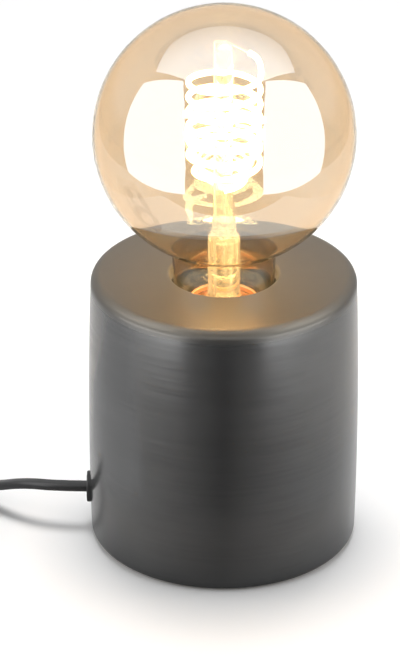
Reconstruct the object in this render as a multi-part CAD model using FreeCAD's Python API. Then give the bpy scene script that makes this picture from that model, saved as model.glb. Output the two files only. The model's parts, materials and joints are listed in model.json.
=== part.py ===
"""Table lamp: a glazed ceramic drum with a globe filament bulb standing in its top.

Millimetres. The origin is on the table under the middle of the drum, +Z is up, the
cord leaves towards -X and the front faces -Y.
"""
import FreeCAD, Part
import math
import os

V = FreeCAD.Vector
AXIS_X = V(1, 0, 0)
AXIS_Y = V(0, 1, 0)
AXIS_Z = V(0, 0, 1)
FULL_TURN = 360.0

# One overrun serves every cut, one clearance every loose pair of parts.
overrun = 2.0
slip = 0.05
loose = 0.3
almost_zero_share = 1e-4
heading_step_share = 1e-3

# Ceramic drum
body_lift = 0.6
body_height = 106.0
body_belly_r = 50.1
body_foot_draw = 0.4
body_top_draw = 1.4
body_wall = 5.0
body_roof = 6.0
shoulder_round = 3.8
foot_round = 2.7
roof_inner_round = 5.0
neck_hole_r = 19.7
neck_hole_round = 1.4
boss_r = 5.0
boss_bite = 0.8
boss_height = 15.0
boss_count = 3

# Foot: foam pad, steel plate, screws and inserts
pad_thickness = 2.0
pad_inset = 1.2
plate_thickness = 1.5
plate_gap = 0.5
head_hole_r = 4.6
screw_r = 2.0
screw_head_r = 3.8
screw_head_height = 1.6
base_screw_length = 11.0
insert_r = 3.0
insert_length = 10.0
insert_groove_depth = 0.4
insert_groove_width = 1.2

# Bracket that carries the lampholder
bracket_width = 22.0
bracket_thickness = 1.5
bracket_half_span = 20.0
bracket_foot = 13.5
bracket_bend_r = 2.5
bracket_screw_y = 27.5
bracket_screw_length = 6.5
nut_height = 3.2
nut_flats = 7.0

# Threaded tube with its nut and washer
tube_r = 5.0
tube_bore_r = 3.75
tube_below_web = 6.4
tube_above_web = 7.0
tube_nut_flats = 14.0
tube_nut_height = 3.0
washer_r = 8.0
washer_thickness = 0.8

# Lampholder
holder_r = 19.2
holder_wall = 2.3
holder_neck_r = 8.5
holder_neck_height = 3.0
holder_cap_height = 17.0
holder_dome_height = 8.0
holder_floor = 4.5
contact_room = 4.0
holder_rim_drop = 11.1
holder_rim_round = 0.9
holder_lip = 0.6
holder_lip_height = 2.5
holder_groove_count = 5
holder_groove_r = 0.45
core_ledge_height = 12.5
core_ledge_width = 1.2
core_rim_height = 2.5
core_height = 8.5
shell_r = 13.9
shell_sheet = 0.5
shell_height = 26.0
shell_flange_inner_r = 11.5
contact_width = 5.0
contact_sheet = 0.5
contact_foot_y = 9.3
contact_knee_y = 4.5
contact_tip_y = 3.0
post_r = 1.2
live_post_y = 8.0
neutral_post_y = 12.8
block_width = 6.0
block_height = 4.0
live_block_y = (6.0, 12.0)
neutral_block_y = (6.0, 14.0)
terminal_screw_r = 1.3
terminal_head_r = 2.4
terminal_head_height = 1.8
live_screw_y = 9.4
neutral_screw_y = 9.4

# Bulb
globe_r = 47.5
globe_rise = 64.6
glass_wall = 0.8
neck_top_r = 19.0
neck_low_r = 18.5
neck_flare_r = 6.0
cap_stand_out = 1.1
skirt_length = 4.0
cap_r = 13.2
cap_sheet = 0.4
cap_rim_height = 2.2
cap_rim_r = 13.0
cap_length = 26.6
cap_cone_height = 3.0
insulator_r = 10.6
insulator_tip_r = 6.2
insulator_height = 4.6
tip_contact_r = 4.8
tip_contact_height = 1.0
stem_foot_drop = 3.6
stem_r = 5.9
stem_flare_height = 8.0
stem_height = 29.8
press_height = 7.2
press_width = 8.6
press_depth = 4.4
rod_r = 3.1
rod_height = 67.0
driver_width = 20.0
driver_height = 13.0
driver_board = 1.2
driver_lift = 1.6
driver_can_r = 3.4
driver_can_height = 9.0

# Filament: a wide helix, then a narrowing tail
filament_r = 1.0
helix_r = 13.0
helix_top_drop = 12.4
helix_pitch = 5.6
helix_turns = 6
tail_turns = 1.25
tail_end_r = 7.0
tail_drop = 8.4
hook_tip_x = 8.8
hook_tip_y = 2.4
hook_tip_rise = 7.6
wire_r = 0.35

# Flat two-core cord, drawn as a round tube of its full width
cord_r = 2.6
cord_z = 16.5
conductor_r = 1.1
conductor_pitch = 2.6
conductor_bend_share = 0.9
sheath_end_x = -10.4

# Cord outlet in the drum's side
outlet_disc_r = 5.9
outlet_disc_proud = 1.35
outlet_dome = 0.5
outlet_neck_r = 4.2
outlet_barb_r = 5.2
outlet_barb_length = 2.0

# Clamp that takes the pull of the cord
clamp_length = 10.0
clamp_half_width = 11.0
clamp_x = -15.0
clamp_axis_z = 10.2
clamp_top_height = 3.9
clamp_screw_y = 7.5
clamp_screw_r = 1.5
clamp_head_r = 2.8
clamp_head_height = 1.8
clamp_round = 1.0

# Switch on the cord
switch_x = -194.0
switch_y = -37.5
switch_length = 62.0
switch_width = 26.0
switch_end_width = 12.0
switch_height = 15.0
switch_corner = 3.0
switch_round = 2.4
switch_wall = 2.0
switch_core_length = 30.0
switch_axis_z = 6.8
rocker_pivot_z = 10.5
rocker_r = 10.0
rocker_width = 10.0
rocker_rise = 7.0
rocker_dish = 1.3
rocker_depth = 2.6
rocker_tilt_deg = 8.0
rocker_pin_r = 1.5
rocker_pin_length = 2.6
rocker_nose_r = 1.6
rocker_nose_drop = 4.4
bearing_width = 2.2
bearing_r = 3.2
switch_screw_x = 22.5
switch_screw_r = 1.2
switch_screw_head_r = 2.3
switch_screw_head_height = 1.6
terminal_x = 10.5
terminal_size = (6.0, 5.0, 3.6)

# Plug
plug_x = -200.5
plug_y = 15.0
plug_length = 33.0
plug_width = 35.0
plug_rear_width = 15.0
plug_waist_width = 24.0
plug_shoulder_share = 0.3
plug_waist_share = 0.68
plug_thickness = 13.7
plug_round = 2.6
plug_pin_pitch = 18.6
plug_pin_r = 2.0
plug_pin_length = 19.0
plug_pin_root = 8.0
plug_pin_core_r = 1.5
plug_sleeve_r = 1.9
plug_sleeve_length = 10.0
relief_length = 20.0
relief_root_r = 5.0
relief_tip_r = 3.6
relief_rib_count = 5
relief_rib_width = 1.6
relief_rib_depth = 0.7

# Cord routes: points chosen by hand, the cord's axis lies a radius above the table
coil_x = -131.0
coil_y = -4.2
coil_outer_r = 33.3
coil_gap = 0.5
coil_turns = 7.5
coil_layers = 4
climb_turns = 0.5
coil_lift = 0.6
tie_width = 3.0
tie_sheet = 0.4
tie_angle_deg = 20.0

lamp_run = [
    (-48.6, 0.0, 16.5), (-62.0, 0.0, 16.5), (-75.6, 5.0, 15.0), (-88.0, 13.6, 8.6),
    (-101.0, 24.8, 3.2), (-115.6, 34.2, 2.6), (-132.0, 39.8, 2.6), (-153.0, 41.0, 2.6),
    (-174.0, 40.6, 2.6), (-195.0, 41.2, 2.6), (-215.7, 46.8, 2.6), (-230.2, 47.4, 2.6),
    (-243.7, 42.7, 2.6), (-253.7, 32.9, 2.6), (-258.5, 19.8, 2.6), (-259.2, 4.0, 2.6),
    (-258.7, -14.2, 2.6), (-254.9, -25.0, 3.7), (-246.8, -33.4, 5.3), (-235.5, -37.5, 6.8),
    (-225.0, -37.5, 6.8),
]
switch_run = [
    (-163.0, -37.5, 6.8), (-157.2, -37.5, 6.8), (-149.4, -37.5, 5.1), (-142.0, -37.5, 3.2),
    (-136.2, -37.5, 3.2),
]
plug_run = [
    (-136.2, 29.1, 20.3), (-142.9, 29.1, 20.3), (-149.4, 27.5, 19.2), (-155.1, 24.4, 16.9),
    (-162.0, 18.9, 10.8), (-167.6, 16.4, 8.2), (-173.9, 15.0, 6.85), (-180.5, 15.0, 6.85),
]
indoor_run = [
    (-48.6, 0.0, 16.5), (-38.6, 0.0, 16.5), (-27.0, 0.0, 10.2), (-10.4, 0.0, 10.2),
]


def cylinder(radius, low, high, x=0.0, y=0.0):
    return Part.makeCylinder(radius, high - low, V(x, y, low), AXIS_Z)


def ring(outer, inner, low, high, x=0.0, y=0.0):
    return cylinder(outer, low, high, x, y).cut(
        cylinder(inner, low - overrun, high + overrun, x, y))


def block(x0, x1, y0, y1, z0, z1):
    return Part.makeBox(x1 - x0, y1 - y0, z1 - z0, V(x0, y0, z0))


def line(start, end):
    return Part.LineSegment(start, end).toShape()


def arc(start, middle, end):
    return Part.Arc(start, middle, end).toShape()


def closed_face(edges):
    return Part.Face(Part.Wire(edges))


def polygon(points):
    return Part.Face(Part.makePolygon(list(points) + [points[0]]))


def revolved(edges):
    return closed_face(edges).revolve(V(0, 0, 0), AXIS_Z, FULL_TURN)


def turned(points):
    """A solid of revolution from (radius, height) corners."""
    return polygon([V(r, 0, z) for r, z in points]).revolve(V(0, 0, 0), AXIS_Z, FULL_TURN)


def round_edges(shape, radius, chosen):
    return shape.makeFillet(radius, [edge for edge in shape.Edges if chosen(edge)])


def circle_at(radius, z):
    """Picks the circular edges of a radius at a height."""
    def chosen(edge):
        curve = edge.Curve
        return (isinstance(curve, Part.Circle) and abs(curve.Radius - radius) < slip
                and abs(edge.BoundBox.ZMin - z) < slip and abs(edge.BoundBox.ZMax - z) < slip)
    return chosen


def hexagon(flats, low, high, x=0.0, y=0.0):
    corner = flats / 2 / math.cos(math.pi / 6)
    points = [V(x + corner * math.cos(k * math.pi / 3), y + corner * math.sin(k * math.pi / 3), low)
              for k in range(6)]
    return polygon(points).extrude(V(0, 0, high - low))


def pan_screw(x, y, seat_z, length, shank, head, head_height, up):
    """A screw with its head's flat face at seat_z and its shank going up or down."""
    sign = 1 if up else -1
    shank_solid = Part.makeCylinder(shank, length, V(x, y, seat_z), V(0, 0, sign))
    head_solid = Part.makeCylinder(head, head_height, V(x, y, seat_z), V(0, 0, -sign))
    rim_z = seat_z - sign * head_height
    head_solid = round_edges(head_solid, head_height / 2, circle_at(head, rim_z))
    slot = block(x - head_height / 4, x + head_height / 4, y - head, y + head,
                 min(rim_z, rim_z + sign * head_height / 2),
                 max(rim_z, rim_z + sign * head_height / 2))
    return shank_solid.fuse(head_solid).cut(slot).removeSplitter()


def strip(points, sheet, width, place):
    """Bent sheet metal: a centre line given as (along, height) points."""
    left, right = [], []
    count = len(points)
    for k, (u, w) in enumerate(points):
        before = points[max(k - 1, 0)]
        after = points[min(k + 1, count - 1)]
        sides = []
        for a, b in ((before, (u, w)), ((u, w), after)):
            size = math.hypot(b[0] - a[0], b[1] - a[1])
            if size > 0:
                sides.append((-(b[1] - a[1]) / size, (b[0] - a[0]) / size))
        nu = sum(s[0] for s in sides) / len(sides)
        nw = sum(s[1] for s in sides) / len(sides)
        reach = sheet / 2 / (nu * nu + nw * nw)
        left.append((u + nu * reach, w + nw * reach))
        right.append((u - nu * reach, w - nw * reach))
    outline = [place(u, w) for u, w in left + right[::-1]]
    face = polygon(outline)
    normal = face.normalAt(0, 0)
    face.translate(normal * (-width / 2))
    return face.extrude(normal * width)


def rounded_route(points, name=""):
    """Straight runs joined by tangent arcs as large as the runs allow."""
    reach_share = 0.45
    knots = [V(*p) for p in points]
    edges = []
    radii = []
    start = knots[0]
    for before, corner, after in zip(knots, knots[1:], knots[2:]):
        incoming = corner - before
        outgoing = after - corner
        half_turn = incoming.getAngle(outgoing) / 2
        reach = reach_share * min(incoming.Length, outgoing.Length)
        radius = reach / math.tan(half_turn)
        radii.append(radius)
        u = V(incoming).normalize()
        w = V(outgoing).normalize()
        first = corner - u * reach
        last = corner + w * reach
        inward = V(w - u).normalize()
        middle = corner + inward * (radius / math.cos(half_turn) - radius)
        edges.append(line(start, first))
        edges.append(arc(first, middle, last))
        start = last
    edges.append(line(start, knots[-1]))
    path = Part.Wire(edges)
    if name:
        print(name, "length", round(path.Length, 1), "least radius", round(min(radii), 1))
    return path


def tube_along(path, radius):
    first = path.Edges[0]
    start = first.valueAt(first.FirstParameter)
    heading = first.tangentAt(first.FirstParameter)
    section = Part.Wire(Part.makeCircle(radius, start, heading))
    shell = Part.BRepOffsetAPI.MakePipeShell(path)
    shell.add(section)
    shell.build()
    shell.makeSolid()
    return shell.shape()


def biarc(p0, t0, p1, t1):
    """Two tangent arcs from p0 with heading t0 to p1 with heading t1."""
    chord = p1 - p0
    both = t0 + t1
    a = 2 * (1 - t0.dot(t1))
    b = chord.dot(both)
    c = chord.dot(chord)
    if a < almost_zero_share ** 2:
        reach = c / (2 * b)
    else:
        reach = (-b + math.sqrt(b * b + a * c)) / a
    q0 = p0 + t0 * reach
    q1 = p1 - t1 * reach
    joint = (q0 + q1) * 0.5

    def bow(start, corner, end):
        half = (corner - start).getAngle(end - corner) / 2
        if half < almost_zero_share:
            return line(start, end)
        size = (corner - start).Length
        radius = size / math.tan(half)
        inward = V((start + end) * 0.5 - corner).normalize()
        return arc(start, corner + inward * (radius / math.cos(half) - radius), end)
    return [bow(p0, q0, joint), bow(joint, q1, p1)]


def wound_path(place, turns, first=None, last=None, steps_per_turn=4):
    """Biarcs through place(t), with t in turns; first and last are headings at the ends."""
    count = max(1, round(turns * steps_per_turn))
    step = turns / count
    tiny = step * heading_step_share
    knots = []
    for k in range(count + 1):
        t = k * step
        ahead = place(min(t + tiny, turns))
        behind = place(max(t - tiny, 0))
        knots.append((place(t), V(ahead - behind).normalize()))
    if first:
        knots[0] = (knots[0][0], first)
    if last:
        knots[-1] = (knots[-1][0], last)
    edges = []
    for (p0, t0), (p1, t1) in zip(knots, knots[1:]):
        edges += biarc(p0, t0, p1, t1)
    return edges


def least_gap(place, turns, diameter, samples_per_turn=48):
    """Free space between stretches of a winding at least a third of a turn apart."""
    count = int(turns * samples_per_turn)
    points = [place(turns * k / count) for k in range(count + 1)]
    apart = samples_per_turn // 3
    nearest = min((points[i] - points[j]).Length
                  for i in range(len(points)) for j in range(i + apart, len(points)))
    return nearest - diameter


# Heights that several parts share
body_bottom_r = body_belly_r - body_foot_draw
body_top_r = body_belly_r - body_top_draw
boss_circle_r = body_bottom_r - body_wall - boss_r + boss_bite
body_top = body_lift + body_height
plate_low = pad_thickness
plate_top = plate_low + plate_thickness
holder_rim_z = body_top - holder_rim_drop
holder_height = core_ledge_height + core_height + contact_room + cap_length - cap_stand_out
web_top = holder_rim_z - holder_height
cap_floor = web_top + holder_floor
cap_rim = web_top + holder_cap_height
ledge_z = web_top + core_ledge_height
core_top = ledge_z + core_height
cap_top_z = holder_rim_z + cap_stand_out
contact_z = cap_top_z - cap_length
globe_centre_z = cap_top_z + globe_rise
stem_foot_z = cap_top_z - stem_foot_drop
stem_waist_z = stem_foot_z + stem_flare_height
stem_top_z = stem_foot_z + stem_height
press_top_z = stem_top_z + press_height
rod_top_z = press_top_z + rod_height
helix_top_z = rod_top_z - helix_top_drop
skirt_r = cap_rim_r - cap_sheet - slip
shoulder_r = neck_low_r - skirt_r
coil_pitch = 2 * cord_r + coil_gap
coil_z = coil_lift + cord_r
switch_end_x = switch_length / 2


def drum(bottom_z, top_z, inset):
    """The drum's bulged form, inset by a wall."""
    middle_z = (bottom_z + top_z) / 2
    low = V(body_bottom_r - inset, 0, bottom_z)
    mid = V(body_belly_r - inset, 0, middle_z)
    high = V(body_top_r - inset, 0, top_z)
    return revolved([line(V(0, 0, bottom_z), low), arc(low, mid, high),
                     line(high, V(0, 0, top_z)), line(V(0, 0, top_z), V(0, 0, bottom_z))])


def boss_places():
    for k in range(boss_count):
        angle = 2 * math.pi * k / boss_count
        yield boss_circle_r * math.cos(angle), boss_circle_r * math.sin(angle)


def ceramic_body():
    outer = drum(body_lift, body_top, 0.0)
    outer = round_edges(outer, shoulder_round, circle_at(body_top_r, body_top))
    outer = round_edges(outer, foot_round, circle_at(body_bottom_r, body_lift))
    roof_z = body_top - body_roof
    inner = drum(body_lift - overrun, roof_z, body_wall)
    inner = round_edges(inner, roof_inner_round, circle_at(body_top_r - body_wall, roof_z))
    solid = outer.cut(inner)
    solid = solid.cut(cylinder(neck_hole_r, roof_z - overrun, body_top + overrun))
    solid = round_edges(solid, neck_hole_round, circle_at(neck_hole_r, body_top))
    within = drum(body_lift, body_top, body_wall / 2)
    for x, y in boss_places():
        boss = cylinder(boss_r, plate_top, plate_top + boss_height, x, y).common(within)
        solid = solid.fuse(boss)
    for x, y in boss_places():
        solid = solid.cut(cylinder(insert_r + slip, plate_top - overrun,
                                   plate_top + insert_length + overrun, x, y))
    side_hole = Part.makeCylinder(outlet_neck_r + slip, 3 * body_wall,
                                  V(-body_belly_r - body_wall, 0, cord_z), AXIS_X)
    return solid.cut(side_hole)


def cord_outlet():
    """Push-in bush: a domed disc outside, a neck in the wall and a barb inside."""
    face_x = -(body_belly_r - slip) - outlet_disc_proud
    wall_x = -(body_belly_r - body_wall) + 2 * loose
    disc = Part.makeCylinder(outlet_disc_r, outlet_disc_proud + body_wall / 2,
                             V(face_x, 0, cord_z), AXIS_X)
    disc = disc.makeFillet(outlet_dome, [e for e in disc.Edges
                                         if abs(e.BoundBox.XMax - face_x) < slip])
    disc = disc.cut(drum(body_lift, body_top, 0.0))
    neck = Part.makeCylinder(outlet_neck_r, wall_x + outlet_barb_length - face_x - outlet_dome,
                             V(face_x + outlet_dome, 0, cord_z), AXIS_X)
    barb = Part.makeCone(outlet_barb_r, outlet_neck_r, outlet_barb_length,
                         V(wall_x, 0, cord_z), AXIS_X)
    bore = Part.makeCylinder(cord_r + slip, 4 * body_wall,
                             V(face_x - overrun, 0, cord_z), AXIS_X)
    return disc.fuse(neck).fuse(barb).cut(bore).removeSplitter()


def foot_pad():
    solid = cylinder(body_bottom_r - body_wall - pad_inset, 0, pad_thickness)
    for x, y in list(boss_places()) + [(0, bracket_screw_y), (0, -bracket_screw_y)]:
        solid = solid.cut(cylinder(head_hole_r, -overrun, pad_thickness + overrun, x, y))
    return solid


def base_plate():
    solid = cylinder(body_bottom_r - body_wall - plate_gap, plate_low, plate_top)
    holes = [(x, y, screw_r) for x, y in boss_places()]
    holes += [(0, y, screw_r) for y in (bracket_screw_y, -bracket_screw_y)]
    holes += [(clamp_x, y, clamp_screw_r) for y in (clamp_screw_y, -clamp_screw_y)]
    for x, y, radius in holes:
        solid = solid.cut(cylinder(radius + slip, plate_low - overrun, plate_top + overrun, x, y))
    return solid


def base_screws():
    return [pan_screw(x, y, plate_low, base_screw_length, screw_r, screw_head_r,
                      screw_head_height, True) for x, y in boss_places()]


def brass_inserts():
    solids = []
    for x, y in boss_places():
        top = plate_top + insert_length
        solid = ring(insert_r, screw_r + slip, plate_top, top, x, y)
        middle = (plate_top + top) / 2
        groove = ring(insert_r + overrun, insert_r - insert_groove_depth,
                      middle - insert_groove_width / 2, middle + insert_groove_width / 2, x, y)
        solids.append(solid.cut(groove))
    return solids


def holder_bracket():
    half = bracket_half_span - bracket_thickness / 2
    top = web_top - bracket_thickness / 2
    low = plate_top + bracket_thickness / 2
    reach = half + bracket_foot
    centre = [(-reach, low), (-half, low), (-half, top), (half, top), (half, low), (reach, low)]
    solid = strip(centre, bracket_thickness, bracket_width, lambda u, w: V(0, u, w))
    outside = bracket_bend_r
    inside = bracket_bend_r - bracket_thickness
    outer_y = bracket_half_span
    inner_y = bracket_half_span - bracket_thickness

    def bends(y_at, z_at):
        def chosen(edge):
            box = edge.BoundBox
            return (box.XLength > bracket_width / 2 and abs(abs(box.YMin) - y_at) < slip
                    and abs(box.ZMin - z_at) < slip and abs(box.ZMax - z_at) < slip)
        return chosen
    solid = round_edges(solid, outside, bends(outer_y, web_top))
    solid = round_edges(solid, inside, bends(inner_y, web_top - bracket_thickness))
    solid = round_edges(solid, outside, bends(inner_y, plate_top))
    solid = round_edges(solid, inside, bends(outer_y, plate_top + bracket_thickness))
    solid = solid.cut(cylinder(tube_r + 2 * slip, web_top - overrun - bracket_thickness,
                               web_top + overrun))
    for y in (bracket_screw_y, -bracket_screw_y):
        solid = solid.cut(cylinder(screw_r + slip, plate_top - overrun,
                                   plate_top + bracket_thickness + overrun, 0, y))
    return solid


def bracket_screws():
    return [pan_screw(0, y, plate_low, bracket_screw_length, screw_r, screw_head_r,
                      screw_head_height, True) for y in (bracket_screw_y, -bracket_screw_y)]


def bracket_nuts():
    low = plate_top + bracket_thickness
    return [hexagon(nut_flats, low, low + nut_height, 0, y).cut(
        cylinder(screw_r + slip, low - overrun, low + nut_height + overrun, 0, y))
        for y in (bracket_screw_y, -bracket_screw_y)]


def threaded_tube():
    return ring(tube_r, tube_bore_r, web_top - tube_below_web, web_top + tube_above_web)


def tube_washer():
    high = web_top - bracket_thickness
    return ring(washer_r, tube_r + slip, high - washer_thickness, high)


def tube_nut():
    high = web_top - bracket_thickness - washer_thickness
    low = high - tube_nut_height
    return hexagon(tube_nut_flats, low, high).cut(
        cylinder(tube_r + slip, low - overrun, high + overrun))


def holder_cap():
    """Lower half of the lampholder, screwed onto the threaded tube."""
    neck_z = web_top + holder_neck_height
    dome_z = web_top + holder_dome_height
    inner_r = holder_r - holder_wall
    bend_share = 0.72
    middle = V(holder_neck_r + (holder_r - holder_neck_r) * bend_share, 0,
               neck_z + (dome_z - neck_z) * (1 - bend_share))
    outline = [line(V(0, 0, web_top), V(holder_neck_r, 0, web_top)),
               line(V(holder_neck_r, 0, web_top), V(holder_neck_r, 0, neck_z)),
               arc(V(holder_neck_r, 0, neck_z), middle, V(holder_r, 0, dome_z)),
               line(V(holder_r, 0, dome_z), V(holder_r, 0, cap_rim)),
               line(V(holder_r, 0, cap_rim), V(0, 0, cap_rim)),
               line(V(0, 0, cap_rim), V(0, 0, web_top))]
    solid = revolved(outline)
    ledge_r = inner_r - core_ledge_width
    hollow = turned([(0, cap_floor), (holder_neck_r - loose, cap_floor),
                     (ledge_r, dome_z + slip), (ledge_r, ledge_z), (inner_r, ledge_z),
                     (inner_r, cap_rim + overrun), (0, cap_rim + overrun)])
    bore = cylinder(tube_r + slip, web_top - overrun, cap_floor + overrun)
    return solid.cut(hollow).cut(bore)


def holder_shell():
    """Upper half of the lampholder, with grip grooves and a spigot that clamps the core."""
    inner_r = holder_r - holder_wall
    spigot_r = inner_r - slip
    rim_z = ledge_z + core_rim_height
    bore_r = spigot_r - core_ledge_width - holder_lip
    lip_r = bore_r - holder_lip
    lip_z = holder_rim_z - holder_lip_height
    solid = turned([(bore_r, rim_z), (spigot_r, rim_z), (spigot_r, cap_rim), (holder_r, cap_rim),
                    (holder_r, holder_rim_z), (lip_r, holder_rim_z), (lip_r, lip_z),
                    (bore_r, lip_z)])
    solid = round_edges(solid, holder_rim_round, circle_at(holder_r, holder_rim_z))
    spacing = (holder_rim_z - cap_rim) / (holder_groove_count + 1)
    for k in range(holder_groove_count):
        groove = Part.makeTorus(holder_r, holder_groove_r,
                                V(0, 0, cap_rim + spacing * (k + 1)), AXIS_Z)
        solid = solid.cut(groove)
    return solid


def holder_core():
    """Insulating insert that carries the contacts."""
    rim_r = holder_r - holder_wall - 3 * slip
    body_r = holder_r - holder_wall - core_ledge_width - holder_lip - 3 * slip
    solid = cylinder(rim_r, ledge_z, ledge_z + core_rim_height)
    solid = solid.fuse(cylinder(body_r, ledge_z, core_top)).removeSplitter()
    for y in (-live_post_y, neutral_post_y):
        solid = solid.cut(cylinder(post_r + slip, ledge_z - overrun, core_top + overrun, 0, y))
    return solid


def screw_shell():
    """Threaded sleeve of the socket, drawn at its crests."""
    sleeve = ring(shell_r, shell_r - shell_sheet, core_top, core_top + shell_height)
    flange = ring(shell_r, shell_flange_inner_r, core_top, core_top + shell_sheet)
    return sleeve.fuse(flange).removeSplitter()


def centre_contact():
    """Spring tongue under the bulb's tip, with its rivet."""
    foot_z = core_top + contact_sheet / 2
    tip_z = contact_z - slip - contact_sheet / 2
    centre = [(-contact_foot_y, foot_z), (-contact_knee_y, foot_z),
              (-contact_tip_y / 2, tip_z), (contact_tip_y, tip_z)]
    tongue = strip(centre, contact_sheet, contact_width, lambda u, w: V(0, u, w))
    rivet = cylinder(post_r, ledge_z, core_top + contact_sheet / 2, 0, -live_post_y)
    return tongue.fuse(rivet).removeSplitter()


def side_contact():
    return cylinder(post_r, ledge_z, core_top, 0, neutral_post_y)


def terminal_blocks():
    solids = []
    for sign, span, screw_y in ((-1, live_block_y, live_screw_y),
                                (1, neutral_block_y, neutral_screw_y)):
        y0, y1 = sorted((sign * span[0], sign * span[1]))
        solid = block(-block_width / 2, block_width / 2, y0, y1, ledge_z - block_height, ledge_z)
        hole = cylinder(terminal_screw_r + slip, ledge_z - block_height - overrun,
                        ledge_z + overrun, 0, sign * screw_y)
        solids.append(solid.cut(hole))
    return solids


def terminal_screws():
    length = block_height - slip
    return [pan_screw(0, y, ledge_z - block_height, length, terminal_screw_r, terminal_head_r,
                      terminal_head_height, True) for y in (-live_screw_y, neutral_screw_y)]


def clamp_lower():
    solid = block(clamp_x - clamp_length / 2, clamp_x + clamp_length / 2,
                  -clamp_half_width, clamp_half_width, plate_top, clamp_axis_z)
    return clamp_holes(solid)


def clamp_upper():
    top = clamp_axis_z + clamp_top_height
    solid = block(clamp_x - clamp_length / 2, clamp_x + clamp_length / 2,
                  -clamp_half_width, clamp_half_width, clamp_axis_z + slip, top)
    solid = solid.makeFillet(clamp_round, [e for e in solid.Edges
                                           if abs(e.BoundBox.ZMin - top) < slip])
    return clamp_holes(solid)


def clamp_holes(solid):
    groove = Part.makeCylinder(cord_r + slip, clamp_length + 2 * overrun,
                               V(clamp_x - clamp_length / 2 - overrun, 0, clamp_axis_z), AXIS_X)
    solid = solid.cut(groove)
    for y in (clamp_screw_y, -clamp_screw_y):
        solid = solid.cut(cylinder(clamp_screw_r + slip, plate_low,
                                   clamp_axis_z + clamp_top_height + overrun, clamp_x, y))
    return solid


def clamp_screws():
    seat = clamp_axis_z + clamp_top_height
    return [pan_screw(clamp_x, y, seat, seat - plate_low, clamp_screw_r, clamp_head_r,
                      clamp_head_height, False) for y in (clamp_screw_y, -clamp_screw_y)]


def conductors():
    """The two insulated cores, up through the threaded tube to their terminals."""
    solids = []
    wire_z = ledge_z - block_height / 2
    for sign, span in ((-1, live_block_y), (1, neutral_block_y)):
        y = sign * conductor_pitch / 2
        start = V(sheath_end_x, y, clamp_axis_z)
        low = V(0, y, clamp_axis_z)
        high = V(0, y, wire_z)
        end = V(0, sign * span[0], wire_z)
        edges = []
        for before, corner, after, size in (
                (start, low, high, (low - start).Length * conductor_bend_share),
                (low, high, end, (end - high).Length * conductor_bend_share)):
            incoming = V(corner - before).normalize()
            outgoing = V(after - corner).normalize()
            first = corner - incoming * size
            last = corner + outgoing * size
            middle = corner + (outgoing - incoming) * (size * (1 - math.sqrt(0.5)))
            edges += [line(start, first), arc(first, middle, last)]
            start = last
        edges.append(line(start, end))
        solids.append(tube_along(Part.Wire(edges), conductor_r))
    return solids


def globe_profile(inset):
    """Outer or inner outline of the glass, from the top of the globe to its skirt."""
    radius = globe_r - inset
    neck_top = neck_top_r - inset
    neck_low = neck_low_r - inset
    flare = neck_flare_r + inset
    flare_x = neck_top + flare
    flare_z = globe_centre_z - math.sqrt((radius + flare) ** 2 - flare_x ** 2)
    share = radius / (radius + flare)
    touch = V(flare_x * share, 0, globe_centre_z + (flare_z - globe_centre_z) * share)
    top = V(0, 0, globe_centre_z + radius)
    side_angle = math.atan2(touch.z - globe_centre_z, touch.x)
    half_angle = (math.pi / 2 + side_angle) / 2
    side = V(radius * math.cos(half_angle), 0, globe_centre_z + radius * math.sin(half_angle))
    neck_start = V(neck_top, 0, flare_z)
    angle = (math.atan2(touch.z - flare_z, touch.x - flare_x) + math.pi) / 2
    flare_mid = V(flare_x + flare * math.cos(angle), 0, flare_z + flare * math.sin(angle))
    bend = shoulder_r - inset
    neck_end = V(neck_low, 0, cap_top_z + shoulder_r)
    skirt_top = V(neck_low - bend, 0, cap_top_z + inset)
    diagonal_share = math.sqrt(0.5)
    bend_mid = V(neck_low - bend + bend * diagonal_share, 0, cap_top_z + shoulder_r - bend * diagonal_share)
    skirt_end = V(skirt_r - inset, 0, cap_top_z - skirt_length)
    return [arc(top, side, touch), arc(touch, flare_mid, neck_start), line(neck_start, neck_end),
            arc(neck_end, bend_mid, skirt_top), line(skirt_top, skirt_end)], top, skirt_end


def bulb_globe():
    solids = []
    for inset in (0.0, glass_wall):
        edges, top, low = globe_profile(inset)
        drop = overrun if inset else 0.0
        foot = V(low.x, 0, low.z - drop)
        base = V(0, 0, foot.z)
        if drop:
            edges.append(line(low, foot))
        edges += [line(foot, base), line(base, top)]
        solids.append(revolved(edges))
    return solids[0].cut(solids[1])


def stem_solid(inset, low_z):
    """Flared tube of the mount, closed at its top, inset by the glass wall."""
    foot_r = skirt_r - glass_wall - slip - inset
    tube = stem_r - inset
    top_z = stem_top_z - inset
    bend = tube / 2
    bow_share = 0.3
    bow = V(foot_r + (tube - foot_r) * (1 - bow_share), 0,
            stem_foot_z + (stem_waist_z - stem_foot_z) * bow_share)
    diagonal_share = math.sqrt(0.5)
    bend_mid = V(tube - bend + bend * diagonal_share, 0, top_z - bend + bend * diagonal_share)
    corners = [V(0, 0, low_z), V(foot_r, 0, low_z), V(foot_r, 0, stem_foot_z),
               V(tube, 0, stem_waist_z), V(tube, 0, top_z - bend), V(tube - bend, 0, top_z),
               V(0, 0, top_z)]
    edges = [line(corners[0], corners[1])]
    if low_z < stem_foot_z:
        edges.append(line(corners[1], corners[2]))
    edges += [arc(corners[2], bow, corners[3]), line(corners[3], corners[4]),
              arc(corners[4], bend_mid, corners[5]), line(corners[5], corners[6]),
              line(corners[6], corners[0])]
    return revolved(edges)


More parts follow.
